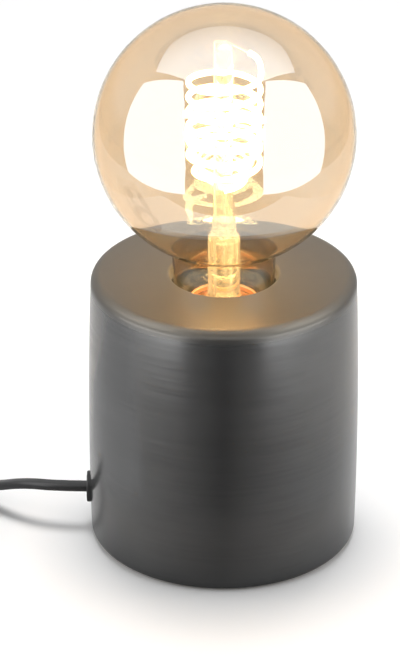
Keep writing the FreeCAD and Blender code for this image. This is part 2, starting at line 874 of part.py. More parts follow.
def bulb_stem():
    """Flared mount, flattened press and the tall glass rod that the filament winds round."""
    mount = stem_solid(0.0, stem_foot_z)
    mount = mount.cut(stem_solid(glass_wall, stem_foot_z - overrun))
    press = block(-press_width / 2, press_width / 2, -press_depth / 2, press_depth / 2,
                  stem_top_z - glass_wall / 2, press_top_z)
    press = press.makeFillet(press_depth / 4, [e for e in press.Edges
                                               if e.BoundBox.ZMax > stem_top_z])
    rod = cylinder(rod_r, press_top_z - press_depth, rod_top_z - rod_r)
    tip = Part.makeSphere(rod_r, V(0, 0, rod_top_z - rod_r))
    return mount.fuse(press).fuse(rod).fuse(tip).removeSplitter()


def helix_point(t):
    """Axis of the filament, t turns down from its top end."""
    angle = -2 * math.pi * t
    if t <= helix_turns:
        radius = helix_r
        z = helix_top_z - helix_pitch * t
    else:
        share = (t - helix_turns) / tail_turns
        ease = share * share * (3 - 2 * share)
        radius = helix_r + (tail_end_r - helix_r) * ease
        z = helix_top_z - helix_pitch * helix_turns - tail_drop * share
    return V(radius * math.cos(angle), radius * math.sin(angle), z)


def hook_tip():
    return V(hook_tip_x, hook_tip_y, helix_top_z + hook_tip_rise)


def bulb_filament():
    """One spiral thread with a hooked top end; both ends run straight for one diameter."""
    turns = helix_turns + tail_turns
    straight = 2 * filament_r
    start, end = helix_point(0.0), helix_point(turns)
    heading = V(helix_point(heading_step_share) - start).normalize()
    leaving = V(end - helix_point(turns - heading_step_share)).normalize()
    outward = V(AXIS_X + AXIS_Z).normalize()
    knee = hook_tip() + outward * straight
    edges = [line(hook_tip(), knee)] + biarc(knee, outward, start, heading)
    edges += wound_path(helix_point, turns)
    edges.append(line(end, end + leaving * straight))
    print("filament least gap", round(least_gap(helix_point, turns, 2 * filament_r), 2))
    return tube_along(Part.Wire(edges), filament_r)


def bulb_lead_wires():
    """One wire to the filament's lower end, one up the rod to its upper end."""
    lower = helix_point(helix_turns + tail_turns)
    upper = hook_tip()
    foot_z = press_top_z - press_depth / 2
    first = Part.Wire([line(V(press_width / 4, 0, foot_z), V(press_width / 4, 0, press_top_z)),
                       line(V(press_width / 4, 0, press_top_z), lower)])
    beside = rod_r + wire_r + slip
    second = Part.Wire([line(V(-beside, 0, foot_z), V(-beside, 0, press_top_z)),
                        line(V(-beside, 0, press_top_z), V(-beside, 0, rod_top_z + wire_r)),
                        line(V(-beside, 0, rod_top_z + wire_r), V(0, 0, rod_top_z + 2 * wire_r)),
                        line(V(0, 0, rod_top_z + 2 * wire_r), upper)])
    return [wire_solid(first), wire_solid(second)]


def wire_solid(path):
    """Thin wire: straight pieces with a ball at each corner."""
    solid = None
    for edge in path.Edges:
        a = edge.valueAt(edge.FirstParameter)
        b = edge.valueAt(edge.LastParameter)
        piece = Part.makeCylinder(wire_r, (b - a).Length, a, b - a)
        piece = piece.fuse(Part.makeSphere(wire_r, b))
        solid = piece if solid is None else solid.fuse(piece)
    return solid.removeSplitter()


def bulb_cap():
    """Screw cap, drawn at its crests, with a rolled rim."""
    low = contact_z + tip_contact_height + insulator_height - cap_cone_height
    side_low = low + cap_cone_height
    rim_low = cap_top_z - cap_rim_height
    inner = cap_sheet
    return turned([(insulator_r, low), (insulator_r + inner, low), (cap_r, side_low),
                   (cap_r, rim_low), (cap_rim_r, rim_low + inner), (cap_rim_r, cap_top_z - inner),
                   (cap_rim_r - inner, cap_top_z - inner),
                   (cap_rim_r - inner, rim_low), (cap_r - inner, rim_low - inner),
                   (cap_r - inner, side_low + inner / 2), (insulator_r, low + inner)])


def bulb_insulator():
    low = contact_z + tip_contact_height
    high = low + insulator_height - cap_cone_height
    return turned([(0, low), (insulator_tip_r, low), (insulator_r, high),
                   (insulator_r - slip, high + cap_sheet), (insulator_tip_r, high + cap_sheet),
                   (0, high + cap_sheet)])


def bulb_contact():
    solid = cylinder(tip_contact_r, contact_z, contact_z + tip_contact_height)
    return round_edges(solid, tip_contact_height / 2, circle_at(tip_contact_r, contact_z))


def bulb_driver():
    """Small circuit board inside the cap, standing on the insulator."""
    low = contact_z + tip_contact_height + insulator_height - cap_cone_height + cap_sheet
    board = block(-driver_width / 2, driver_width / 2, -driver_board / 2, driver_board / 2,
                  low, low + driver_height)
    board = board.makeChamfer(driver_lift, [e for e in board.Edges
                                            if e.BoundBox.XLength < slip
                                            and e.BoundBox.ZMax < low + slip])
    can = Part.makeCylinder(driver_can_r, driver_can_height,
                            V(0, driver_board / 2 + driver_can_r - slip, low + driver_lift), AXIS_Z)
    return board.fuse(can).removeSplitter()


def switch_outline(inset, z):
    """Plan of the switch: two bowed sides and square ends."""
    end = switch_end_x - inset
    end_half = switch_end_width / 2 - inset
    half = switch_width / 2 - inset
    left, right = switch_x - end, switch_x + end
    a, b = V(left, switch_y - end_half, z), V(right, switch_y - end_half, z)
    c, d = V(right, switch_y + end_half, z), V(left, switch_y + end_half, z)
    return closed_face([arc(a, V(switch_x, switch_y - half, z), b), line(b, c),
                        arc(c, V(switch_x, switch_y + half, z), d), line(d, a)])


def switch_blank():
    solid = switch_outline(0.0, 0.0).extrude(V(0, 0, switch_height))
    corners = [e for e in solid.Edges if e.BoundBox.ZLength > switch_height / 2]
    solid = solid.makeFillet(switch_corner, corners)
    rims = [e for e in solid.Edges if e.BoundBox.ZLength < slip]
    return solid.makeFillet(switch_round, rims)


def switch_hollow(low, high):
    half = switch_core_length / 2
    inner = switch_outline(switch_wall, low).extrude(V(0, 0, high - low))
    return inner.common(block(switch_x - half, switch_x + half, switch_y - switch_width,
                              switch_y + switch_width, low, high))


def switch_screw_places():
    return [(switch_x + sx * switch_screw_x, switch_y) for sx in (-1, 1)]


def rocker_opening():
    reach = math.sqrt(rocker_r ** 2 - (switch_height - switch_wall - rocker_pivot_z) ** 2) + loose
    half = rocker_width / 2 + loose
    return block(switch_x - reach, switch_x + reach, switch_y - half, switch_y + half,
                 switch_height - switch_wall - overrun, switch_height + overrun)


def switch_lower_shell():
    under = block(switch_x - switch_length, switch_x + switch_length, switch_y - switch_width,
                  switch_y + switch_width, -overrun, switch_axis_z)
    solid = switch_blank().common(under)
    solid = solid.cut(switch_hollow(switch_wall, switch_axis_z + overrun))
    for x, y in switch_screw_places():
        solid = solid.cut(cylinder(switch_screw_r + slip, switch_wall, switch_axis_z + overrun, x, y))
    return solid


def switch_upper_shell():
    over = block(switch_x - switch_length, switch_x + switch_length, switch_y - switch_width,
                 switch_y + switch_width, switch_axis_z, switch_height + overrun)
    solid = switch_blank().common(over)
    roof = switch_height - switch_wall
    solid = solid.cut(switch_hollow(switch_axis_z - overrun, roof))
    for sign in (-1, 1):
        inner_y = rocker_width / 2 + loose
        y0, y1 = sorted((switch_y + sign * inner_y, switch_y + sign * (inner_y + bearing_width)))
        ear = block(switch_x - bearing_r, switch_x + bearing_r, y0, y1,
                    rocker_pivot_z - bearing_r + loose, roof)
        solid = solid.fuse(ear)
    solid = solid.removeSplitter().cut(rocker_opening())
    bearing = Part.makeCylinder(rocker_pin_r + slip, rocker_width + 2 * (loose + bearing_width),
                                V(switch_x, switch_y - rocker_width / 2 - loose - bearing_width,
                                  rocker_pivot_z), AXIS_Y)
    solid = solid.cut(bearing)
    for x, y in switch_screw_places():
        solid = solid.cut(cylinder(switch_screw_r + slip, switch_axis_z - overrun,
                                   switch_height + overrun, x, y))
        solid = solid.cut(cylinder(switch_screw_head_r + slip,
                                   switch_height - switch_screw_head_height,
                                   switch_height + overrun, x, y))
    return solid


def switch_screws():
    seat = switch_height - switch_screw_head_height
    length = seat - switch_wall - loose
    return [pan_screw(x, y, seat, length, switch_screw_r, switch_screw_head_r,
                      switch_screw_head_height - slip, False) for x, y in switch_screw_places()]


def switch_rocker():
    """Rocker in its on position, tilted about the pins at its sides."""
    top = rocker_rise
    end_x = math.sqrt(rocker_r ** 2 - top ** 2)
    low = -rocker_depth
    low_x = math.sqrt(rocker_r ** 2 - low ** 2)

    def place(x, z):
        return V(switch_x + x, switch_y - rocker_width / 2, rocker_pivot_z + z)

    angle_mid = (math.atan2(top, end_x) + math.atan2(low, low_x)) / 2
    mid_x, mid_z = rocker_r * math.cos(angle_mid), rocker_r * math.sin(angle_mid)
    dish = arc(place(-end_x, top), place(0, top - rocker_dish), place(end_x, top))
    profile = closed_face([
        dish, arc(place(end_x, top), place(mid_x, mid_z), place(low_x, low)),
        line(place(low_x, low), place(-low_x, low)),
        arc(place(-low_x, low), place(-mid_x, mid_z), place(-end_x, top))])
    solid = profile.extrude(V(0, rocker_width, 0))
    wall = switch_wall / 2
    room = block(switch_x - low_x + 2 * wall, switch_x + low_x - 2 * wall,
                 switch_y - rocker_width / 2 + wall, switch_y + rocker_width / 2 - wall,
                 rocker_pivot_z + low - overrun, rocker_pivot_z - rocker_pin_r)
    solid = solid.cut(room)
    nose = cylinder(rocker_nose_r, rocker_pivot_z - rocker_nose_drop, rocker_pivot_z,
                    switch_x, switch_y)
    pins = Part.makeCylinder(rocker_pin_r, rocker_width + 2 * rocker_pin_length - 2 * loose,
                             V(switch_x, switch_y - rocker_width / 2 - rocker_pin_length + loose,
                               rocker_pivot_z), AXIS_Y)
    solid = solid.fuse(nose).fuse(pins).removeSplitter()
    solid.rotate(V(switch_x, switch_y, rocker_pivot_z), AXIS_Y, rocker_tilt_deg)
    return solid


def switch_terminals():
    solids = []
    length, width, height = terminal_size
    for sign in (-1, 1):
        x = switch_x + sign * terminal_x
        solids.append(block(x - length / 2, x + length / 2, switch_y - width / 2,
                            switch_y + width / 2, switch_wall, switch_wall + height))
    return solids


def coil_point(t):
    """Axis of the coil, t turns after the cord joins it at its front, going anticlockwise."""
    turns_per_layer = coil_turns / coil_layers
    layer = min(int(t / turns_per_layer), coil_layers - 1)
    within = t - layer * turns_per_layer
    inward = within if layer % 2 == 0 else turns_per_layer - within
    radius = coil_outer_r - coil_pitch * inward
    z = coil_z
    for climb in range(1, coil_layers):
        start = climb * turns_per_layer - climb_turns / 2
        share = min(max((t - start) / climb_turns, 0.0), 1.0)
        z += coil_pitch * share * share * (3 - 2 * share)
    angle = 2 * math.pi * t - math.pi / 2
    return V(coil_x + radius * math.cos(angle), coil_y + radius * math.sin(angle), z)


def cord_coil():
    straight = 2 * cord_r
    start, end = coil_point(0.0), coil_point(coil_turns)
    edges = [line(start - AXIS_X * straight, start)]
    edges += wound_path(coil_point, coil_turns, AXIS_X, -AXIS_X)
    edges.append(line(end, end - AXIS_X * straight))
    path = Part.Wire(edges)
    print("coil length", round(path.Length, 1), "least gap",
          round(least_gap(coil_point, coil_turns, 2 * cord_r), 2))
    return tube_along(path, cord_r)


def cord_tie():
    """Flat tie round the coil's bundle."""
    turns_per_layer = coil_turns / coil_layers
    inner_r = coil_outer_r - coil_pitch * turns_per_layer - cord_r - slip
    outer_r = coil_outer_r + cord_r + slip
    top = coil_z + coil_pitch * (coil_layers - 1) + cord_r + slip
    low = coil_lift - slip
    outer = block(inner_r - tie_sheet, outer_r + tie_sheet, -tie_width / 2, tie_width / 2,
                  low - tie_sheet, top + tie_sheet)
    inner = block(inner_r, outer_r, -tie_width, tie_width, low, top)
    solid = outer.cut(inner)
    solid.rotate(V(0, 0, 0), AXIS_Z, tie_angle_deg)
    solid.translate(V(coil_x, coil_y, 0))
    return solid


def plug_outline(z):
    """Plan of the plug: straight front, waisted sides, narrow rear."""
    front = plug_x - plug_length
    half, waist, rear = plug_width / 2, plug_waist_width / 2, plug_rear_width / 2
    shoulder_x = front + plug_length * plug_shoulder_share
    waist_x = front + plug_length * plug_waist_share

    def at(x, across):
        return V(x, plug_y + across, z)
    return closed_face([
        line(at(front, -half), at(shoulder_x, -half)),
        arc(at(shoulder_x, -half), at(waist_x, -waist), at(plug_x, -rear)),
        line(at(plug_x, -rear), at(plug_x, rear)),
        arc(at(plug_x, rear), at(waist_x, waist), at(shoulder_x, half)),
        line(at(shoulder_x, half), at(front, half)),
        line(at(front, half), at(front, -half))])


def plug_pin_places():
    return [plug_y + sign * plug_pin_pitch / 2 for sign in (-1, 1)]


def plug_body():
    middle_z = plug_thickness / 2
    solid = plug_outline(0.0).extrude(V(0, 0, plug_thickness))
    front = plug_x - plug_length
    edges = [e for e in solid.Edges if e.BoundBox.XMax > front + slip
             or e.BoundBox.ZLength > middle_z]
    solid = solid.makeFillet(plug_round, edges)
    for y in plug_pin_places():
        solid = solid.cut(Part.makeCylinder(plug_pin_core_r + slip, plug_pin_root + overrun,
                                            V(front - overrun, y, middle_z), AXIS_X))
    relief = Part.makeCone(relief_root_r, relief_tip_r, relief_length,
                           V(plug_x, plug_y, middle_z), AXIS_X)
    spacing = relief_length / (relief_rib_count + 1)
    for k in range(relief_rib_count):
        x = plug_x + spacing * (k + 1) - relief_rib_width / 2
        share = (k + 1) / (relief_rib_count + 1)
        radius = relief_root_r + (relief_tip_r - relief_root_r) * share
        outer = Part.makeCylinder(relief_root_r + overrun, relief_rib_width,
                                  V(x, plug_y, middle_z), AXIS_X)
        inner = Part.makeCylinder(radius - relief_rib_depth, relief_rib_width,
                                  V(x, plug_y, middle_z), AXIS_X)
        relief = relief.cut(outer.cut(inner))
    return solid.fuse(relief).removeSplitter()


def plug_pins():
    solids = []
    front = plug_x - plug_length
    for y in plug_pin_places():
        core = Part.makeCylinder(plug_pin_core_r, plug_pin_root + plug_sleeve_length,
                                 V(front - plug_sleeve_length, y, plug_thickness / 2), AXIS_X)
        tip = Part.makeCylinder(plug_pin_r, plug_pin_length - plug_sleeve_length,
                                V(front - plug_pin_length, y, plug_thickness / 2), AXIS_X)
        tip = tip.makeFillet(plug_pin_r / 2, [e for e in tip.Edges
                                              if e.BoundBox.XMax < front - plug_pin_length + slip])
        solids.append(core.fuse(tip).removeSplitter())
    return solids


def plug_sleeves():
    solids = []
    front = plug_x - plug_length
    for y in plug_pin_places():
        start = V(front - plug_sleeve_length, y, plug_thickness / 2)
        outer = Part.makeCylinder(plug_sleeve_r, plug_sleeve_length, start, AXIS_X)
        inner = Part.makeCylinder(plug_pin_core_r + slip, plug_sleeve_length + overrun,
                                  start - AXIS_X * slip, AXIS_X)
        solids.append(outer.cut(inner))
    return solids


def free_cord(points, name):
    path = rounded_route(points, name)
    solid = tube_along(path, cord_r)
    expected = math.pi * cord_r ** 2 * path.Length
    print(name, "volume share of section times length", round(solid.Volume / expected, 3))
    return solid


def export(name, solids):
    if not isinstance(solids, list):
        solids = [solids]
    flat = []
    for solid in solids:
        flat += solid.Solids
    shape = flat[0] if len(flat) == 1 else Part.makeCompound(flat)
    shape.exportStep(os.path.join("parts", name + ".step"))


def main():
    os.makedirs("parts", exist_ok=True)
    conductor_solids = conductors()
    parts = {
        "ceramic_body": ceramic_body(),
        "cord_outlet": cord_outlet(),
        "foot_pad": foot_pad(),
        "base_plate": base_plate(),
        "base_screws": base_screws(),
        "brass_inserts": brass_inserts(),
        "holder_bracket": holder_bracket(),
        "bracket_screws": bracket_screws(),
        "bracket_nuts": bracket_nuts(),
        "threaded_tube": threaded_tube(),
        "tube_washer": tube_washer(),
        "tube_nut": tube_nut(),
        "holder_cap": holder_cap(),
        "holder_shell": holder_shell(),
        "holder_core": holder_core(),
        "screw_shell": screw_shell(),
        "centre_contact": centre_contact(),
        "side_contact": side_contact(),
        "terminal_blocks": terminal_blocks(),
        "terminal_screws": terminal_screws(),
        "clamp_lower": clamp_lower(),
        "clamp_upper": clamp_upper(),
        "clamp_screws": clamp_screws(),
        "indoor_cord": free_cord(indoor_run, "indoor cord"),
        "live_conductor": conductor_solids[0],
        "neutral_conductor": conductor_solids[1],
        "bulb_globe": bulb_globe(),
        "bulb_stem": bulb_stem(),
        "bulb_filament": bulb_filament(),
        "bulb_lead_wires": bulb_lead_wires(),
        "bulb_cap": bulb_cap(),
        "bulb_insulator": bulb_insulator(),
        "bulb_contact": bulb_contact(),
        "bulb_driver": bulb_driver(),
        "cord_lamp_run": free_cord(lamp_run, "lamp run"),
        "switch_lower_shell": switch_lower_shell(),
        "switch_upper_shell": switch_upper_shell(),
        "switch_rocker": switch_rocker(),
        "switch_screws": switch_screws(),
        "switch_terminals": switch_terminals(),
        "cord_switch_run": free_cord(switch_run, "switch run"),
        "cord_coil": cord_coil(),
        "cord_tie": cord_tie(),
        "cord_plug_run": free_cord(plug_run, "plug run"),
        "plug_body": plug_body(),
        "plug_pins": plug_pins(),
        "plug_sleeves": plug_sleeves(),
    }
    for name, solids in parts.items():
        export(name, solids)


main()
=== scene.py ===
"""Table lamp: a glazed ceramic drum, a globe filament bulb and its cord, dressed for a photograph.

Metres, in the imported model's frame: +Z is up, the front faces -Y, the cord leaves towards -X.
"""
import json
import math

import bmesh
import bpy
from mathutils import Matrix, Quaternion, Vector


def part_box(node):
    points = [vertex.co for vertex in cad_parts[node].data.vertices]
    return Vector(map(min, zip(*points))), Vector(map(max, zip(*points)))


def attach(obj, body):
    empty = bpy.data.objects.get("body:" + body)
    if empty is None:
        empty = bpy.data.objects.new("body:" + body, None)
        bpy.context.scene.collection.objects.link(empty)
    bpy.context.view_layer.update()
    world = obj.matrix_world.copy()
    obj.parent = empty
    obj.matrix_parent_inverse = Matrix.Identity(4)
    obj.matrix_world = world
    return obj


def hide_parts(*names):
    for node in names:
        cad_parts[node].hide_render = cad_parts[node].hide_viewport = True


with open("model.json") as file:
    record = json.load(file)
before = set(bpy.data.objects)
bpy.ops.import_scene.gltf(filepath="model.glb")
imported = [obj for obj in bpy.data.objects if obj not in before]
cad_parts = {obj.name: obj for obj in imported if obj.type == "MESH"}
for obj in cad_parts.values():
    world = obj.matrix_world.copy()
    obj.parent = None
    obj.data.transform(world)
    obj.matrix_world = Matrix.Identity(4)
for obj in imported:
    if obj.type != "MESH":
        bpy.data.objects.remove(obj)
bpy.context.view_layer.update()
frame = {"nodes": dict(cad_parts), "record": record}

mm = 0.001

# Photograph
photo_height_px = 656
photo_centre_px = (200.0, 328.0)
focal_px = 3484.7
target_px = (223.4, 400.5)
target_height = 53.3 * mm
camera_distance = 1300.0 * mm
camera_elevation_deg = 28.14
camera_clip = 10.0 * mm
sensor_mm = 36.0

# The white room: what it gives as light, and its tones in gloss from the front to the back wall
world_light = 0.35
room_front = 0.12
room_side = 0.48
back_wall = 0.8
room_turn = (-0.9, -0.25)
wall_turn = (-0.1, 0.35)
wall_foot = (-0.06, 0.12)

# The paper floor, which ends at table_reach in gloss and fades out over paper_far
floor_size = 8.0
floor_white = 1.0
floor_bounce = 0.8
table_reach = 0.44
paper_far = (0.45, 0.9)

# How light the floor is in gloss, a painted shade that only reflections show: dark in front of the lamp,
# lighter round its sides and far out
hood_dark = (0.27, 0.05)
hood_near = (0.055, 0.13)
hood_side = 0.27
hood_slope = 1.0
hood_end = (0.4, 0.6)
hood_floor = 0.0
hood_top = 0.8

# Sheets that only gloss shows. The panels' corners are (up, outwards) in the plane of the camera's view
panel_distance = 0.7
panel_glow = 3.6
panel_corners = [(0.45, 0.05), (0.87, 0.75), (0.48, 0.98), (-0.02, 1.1), (-0.67, 0.93), (-1.19, 0.52),
                 (-0.3, -0.13), (-0.04, -0.06), (0.17, -0.01)]
sky_height = 1.25
sky_outline = [(-0.6, -0.28), (0.64, -0.26), (1.3, 0.42), (0.86, 0.9), (0.5, 0.95), (0.0, 0.96),
               (-0.5, 0.94), (-0.8, 0.84), (-1.24, 0.37)]
sky_glow = (2.9, 1.4)
sky_fade = (0.35, 1.0)
tray_half_width = 87.0 * mm
tray_front = -83.0 * mm
tray_back = 90.0 * mm
tray_height = 107.0 * mm
tray_hole_r = 53.0 * mm
tray_points = 64
tray_glow = 1.1
card_half_width = 56.0 * mm
card_height = 27.0 * mm
card_near = -88.5 * mm
card_far = -272.0 * mm
card_lean = 5.0 * mm
card_lift = 0.3 * mm
card_glow = 0.8

# Soft lamps, and small ones in the bulb: name, height, power, colour and radius
soft_box_place = (0.7, -0.3, 0.5)
soft_box_aim = (0.0, 0.0, 0.05)
soft_box_size = (0.9, 0.8)
soft_box_power = 2.0
overhead_place = (0.0, 0.2, 1.2)
overhead_aim = (0.0, 0.0, 0.0)
overhead_size = (0.5, 0.45)
overhead_power = 10.0
neck_light = (1.0, 0.86, 0.62)
bulb_lights = [
    ("filament_light", 150.0 * mm, 0.52, (1.0, 0.98, 0.95), 12.0 * mm),
    ("stem_light", 124.0 * mm, 0.13, neck_light, 3.0 * mm),
    ("cap_light", 99.5 * mm, 0.22, neck_light, 3.0 * mm),
]

# Finishes: linear colours, roughness, and the share of mirror or haze in the glass
relief_depth = 0.1 * mm
glaze_dark = (0.126, 0.127, 0.128)
glaze_light = (0.148, 0.149, 0.15)
glaze_streak = (0.174, 0.175, 0.175)
# The top's colour is warmer than the side's: a painted warm glow of the bulb's light.
glaze_top_painted_glow = (0.125, 0.116, 0.101)
bare_clay = (0.62, 0.56, 0.48)
side_roughness = 0.235
top_roughness = 0.45
roughness_spread = 0.03
glaze_metal = 0.85
glaze_relief = 0.006
amber_tint = (0.96, 0.75, 0.52, 1.0)
amber_mirror = (0.74, 0.89, 1.0, 1.0)
amber_mirror_share = (0.19, 0.04)
amber_mirror_edge = (0.45, 0.85)
amber_shadow = (0.98, 0.88, 0.74, 1.0)
amber_ior = 1.12
clear_ior = 1.5
clear_tint = (1.0, 0.97, 0.9, 1.0)
clear_shadow = (1.0, 1.0, 1.0, 1.0)
haze_tint = (1.0, 0.93, 0.72, 1.0)
haze_share = (0.012, 0.3)
haze_edge = (0.5, 0.66)
press_relief = (0.25, 0.3 * mm)
glow_deep = (1.0, 0.82, 0.55)
glow_pale = (1.0, 0.9, 0.68)
plate_dark = (0.7, 0.67, 0.62)
plate_light = (0.8, 0.78, 0.74)
# Inside the cap: a painted orange glow of light through the amber glass on the cement, and a painted
# highlight at the brim.
cement_painted_glow = (0.85, 0.36, 0.12)
brim_painted_highlight = (0.95, 0.85, 0.6)
filament_glow = 16.0
filament_powder = (0.9, 0.6, 0.15, 1.0)

# Drum
drum_low, drum_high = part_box("ceramic_body")
drum_belly_r = 50.1 * mm
drum_foot_r = 49.7 * mm
drum_top_r = 48.7 * mm
drum_wall = 5.0 * mm
drum_roof = 6.0 * mm
shoulder_round = 3.8 * mm
# Over this band of height the glaze turns duller and takes the painted warm glow of the top.
dull_and_glow_from = drum_high.z - shoulder_round - 2.0 * mm
dull_and_glow_to = drum_high.z - 1.8 * mm
bare_foot = (drum_low.z + 0.2 * mm, drum_low.z + 0.5 * mm)
foot_round = 2.7 * mm
neck_hole_r = 19.7 * mm
neck_hole_round = 1.4 * mm
roof_inner_round = 5.0 * mm
boss_r = 5.0 * mm
boss_circle_r = 40.5 * mm
boss_top = 18.5 * mm
boss_low_z = drum_low.z + 2.9 * mm
insert_hole_r = 3.05 * mm
insert_hole_depth = 12.0 * mm
boss_count = 3
large_segments = 256
boss_segments = 40

# Bulb
globe_low, globe_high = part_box("bulb_globe")
globe_r = 47.5 * mm
globe_centre_z = globe_high.z - globe_r
glass_wall = 0.8 * mm
neck_top_r = 19.0 * mm
neck_low_r = 18.5 * mm
neck_flare_r = 6.0 * mm
neck_skirt_r = 12.55 * mm
cap_top_z = 96.6 * mm
cap_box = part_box("bulb_cap")
cap_r = 13.2 * mm
cap_thread_depth = 0.55 * mm
cap_sheet = 0.4 * mm
cap_cone_low_r = 10.6 * mm
cap_cone_height = 3.0 * mm
cap_rim_height = 2.2 * mm
cap_rim_round = 0.5 * mm
cap_rim_inset = 0.45 * mm
cap_rim_curl = 0.3 * mm
cap_cone_inset = 0.2 * mm
# Where inside the cap the cement takes the painted orange glow, and the band at the brim that takes the
# painted highlight.
cement_wall = (cap_r - 0.62 * mm, cap_r - 0.57 * mm)
cement_ring = (cap_r - 4.0 * mm, cap_r - 3.0 * mm)
cement_height = (cap_top_z - 9.0 * mm, cap_top_z - 6.0 * mm)
painted_highlight_band = (cap_box[1].z - 0.6 * mm, cap_box[1].z - 0.45 * mm)
thread_pitch = 3.63 * mm
thread_plain_end = 1.2 * mm
thread_rings_per_turn = 14
thread_points = 96
sleeve_r = 13.9 * mm
sleeve_thread_depth = 0.2 * mm
sleeve_sheet = 0.28 * mm
sleeve_flange = (11.5 * mm, 13.7 * mm, 0.5 * mm)
stem_foot_z = 93.0 * mm
stem_foot_r = 11.7 * mm
stem_r = 5.9 * mm
stem_waist_z = 101.0 * mm
stem_top_z = 122.8 * mm
press_top_z = 130.0 * mm
press_width = 8.6 * mm
press_depth = 4.4 * mm
press_start = 0.8
press_pinch_speed = 1.6
press_round_from = 0.8
press_end = 0.35
press_steps = 14
press_points = 48
rod_r = 3.1 * mm
rod_top_z = 197.0 * mm
stem_segments = 96
rod_segments = 48

# Filament
filament_r = 1.0 * mm
helix_r = 13.0 * mm
helix_top_z = 184.6 * mm
helix_pitch = 5.6 * mm
helix_turns = 6
helix_points_per_turn = 24
tail_turns = 1.25
tail_end_r = 7.0 * mm
tail_drop = 8.4 * mm
hook_points = [(13.0, 0.0, 0.0), (13.0, 2.8, 1.6), (12.4, 3.7, 3.9), (10.9, 3.4, 6.1), (8.8, 2.4, 7.6)]

# Flat two-core cord
cord_width = 5.2 * mm
cord_height = 3.3 * mm
coil_x = -131.0 * mm
coil_y = -4.2 * mm
coil_outer_r = 31.6 * mm
coil_pitch = 3.7 * mm
coil_layer_height = 5.4 * mm
coil_turns = 7.5
coil_layers = 4
coil_points_per_turn = 16
climb_turns = 0.5
coil_lift = 2.7 * mm
upright_from = 0.03
upright_to = 0.955
lamp_run = [
    (-48.6, 0.0, 16.5), (-62.0, 0.0, 16.5), (-75.6, 5.0, 15.0), (-88.0, 13.6, 8.6),
    (-101.0, 24.8, 3.2), (-115.6, 34.2, 1.75), (-132.0, 39.8, 1.75), (-153.0, 41.0, 1.75),
    (-174.0, 40.6, 1.75), (-195.0, 41.2, 1.75), (-215.7, 46.8, 1.75), (-230.2, 47.4, 1.75),
    (-243.7, 42.7, 1.75), (-253.7, 32.9, 1.75), (-258.5, 19.8, 1.75), (-259.2, 4.0, 1.75),
    (-258.7, -14.2, 1.75), (-254.9, -25.0, 3.1), (-246.8, -33.4, 5.2), (-235.5, -37.5, 6.8),
    (-225.0, -37.5, 6.8),
]
switch_run = [(-163.0, -37.5, 6.8), (-157.2, -37.5, 6.8), (-149.4, -37.5, 5.1), (-142.0, -36.4, 3.1)]
plug_run = [
    (-143.5, 27.8, 18.9), (-149.8, 26.4, 18.2), (-155.3, 23.6, 16.2), (-162.0, 18.9, 10.8),
    (-167.6, 16.4, 8.2), (-173.9, 15.0, 6.85), (-180.5, 15.0, 6.85),
]
tie_angle_deg = 20.0
tie_width = 6.0 * mm
tie_sheet = 0.8 * mm
tie_bend = 1.6 * mm
tie_gap = 0.2 * mm
tie_top_gap = 0.3 * mm


def eased(share):
    """Smooth step: 0 to 1 with a level start and end, for a share that may run past both."""
    share = min(max(share, 0.0), 1.0)
    return share * share * (3 - 2 * share)


def scaled(points):
    """Points written in millimetres, as vectors in metres."""
    return [Vector(p) * mm for p in points]


def mesh_object(name, verts, faces, smooth_deg=32.0):
    """A mesh piece with outward normals, smooth except at edges sharper than smooth_deg."""
    mesh = bpy.data.meshes.new(name)
    mesh.from_pydata([tuple(v) for v in verts], [], faces)
    work = bmesh.new()
    work.from_mesh(mesh)
    bmesh.ops.recalc_face_normals(work, faces=work.faces)
    work.to_mesh(mesh)
    work.free()
    mesh.shade_smooth()
    mesh.set_sharp_from_angle(angle=math.radians(smooth_deg))
    obj = bpy.data.objects.new(name, mesh)
    bpy.context.scene.collection.objects.link(obj)
    return obj


def arc(centre_r, centre_z, radius, start_deg, end_deg, steps=12):
    """Points of an arc in the (radius, height) plane."""
    points = []
    for k in range(steps + 1):
        angle = math.radians(start_deg + (end_deg - start_deg) * k / steps)
        points.append((centre_r + radius * math.cos(angle), centre_z + radius * math.sin(angle)))
    return points


def ring_faces(low, high):
    """Faces between two rings of vertex numbers, either of which may be one point."""
    count = max(len(low), len(high))
    faces = []
    for k in range(count):
        n = (k + 1) % count
        corners = [low[k % len(low)], low[n % len(low)], high[n % len(high)], high[k % len(high)]]
        face = tuple(dict.fromkeys(corners))
        if len(face) > 2:
            faces.append(face)
    return faces


def lathe(outline, segments, closed=True):
    """Vertices and faces of (radius, height) points turned round the Z axis."""
    verts, rings = [], []
    for radius, height in outline:
        if radius < mm * mm:
            rings.append([len(verts)])
            verts.append(Vector((0, 0, height)))
            continue
        rings.append(list(range(len(verts), len(verts) + segments)))
        for k in range(segments):
            angle = 2 * math.pi * k / segments
            verts.append(Vector((radius * math.cos(angle), radius * math.sin(angle), height)))
    faces = []
    pairs = list(zip(rings, rings[1:]))
    if closed:
        pairs.append((rings[-1], rings[0]))
    for low, high in pairs:
        faces += ring_faces(low, high)
    return verts, faces


def joined(parts):
    """One vertex and face list from several."""
    verts, faces = [], []
    for part_verts, part_faces in parts:
        start = len(verts)
        verts += part_verts
        faces += [tuple(i + start for i in face) for face in part_faces]
    return verts, faces


def directions(path):
    """The direction of a path at each of its points."""
    last = len(path) - 1
    return [(path[min(k + 1, last)] - path[max(k - 1, 0)]).normalized() for k in range(len(path))]


def carried_sides(tangents):
    """A side vector for each direction of a path, turned as little as can be."""
    side = tangents[0].orthogonal().normalized()
    sides = [side]
    for before, after in zip(tangents, tangents[1:]):
        side = before.rotation_difference(after) @ side
        sides.append((side - after * side.dot(after)).normalized())
    return sides


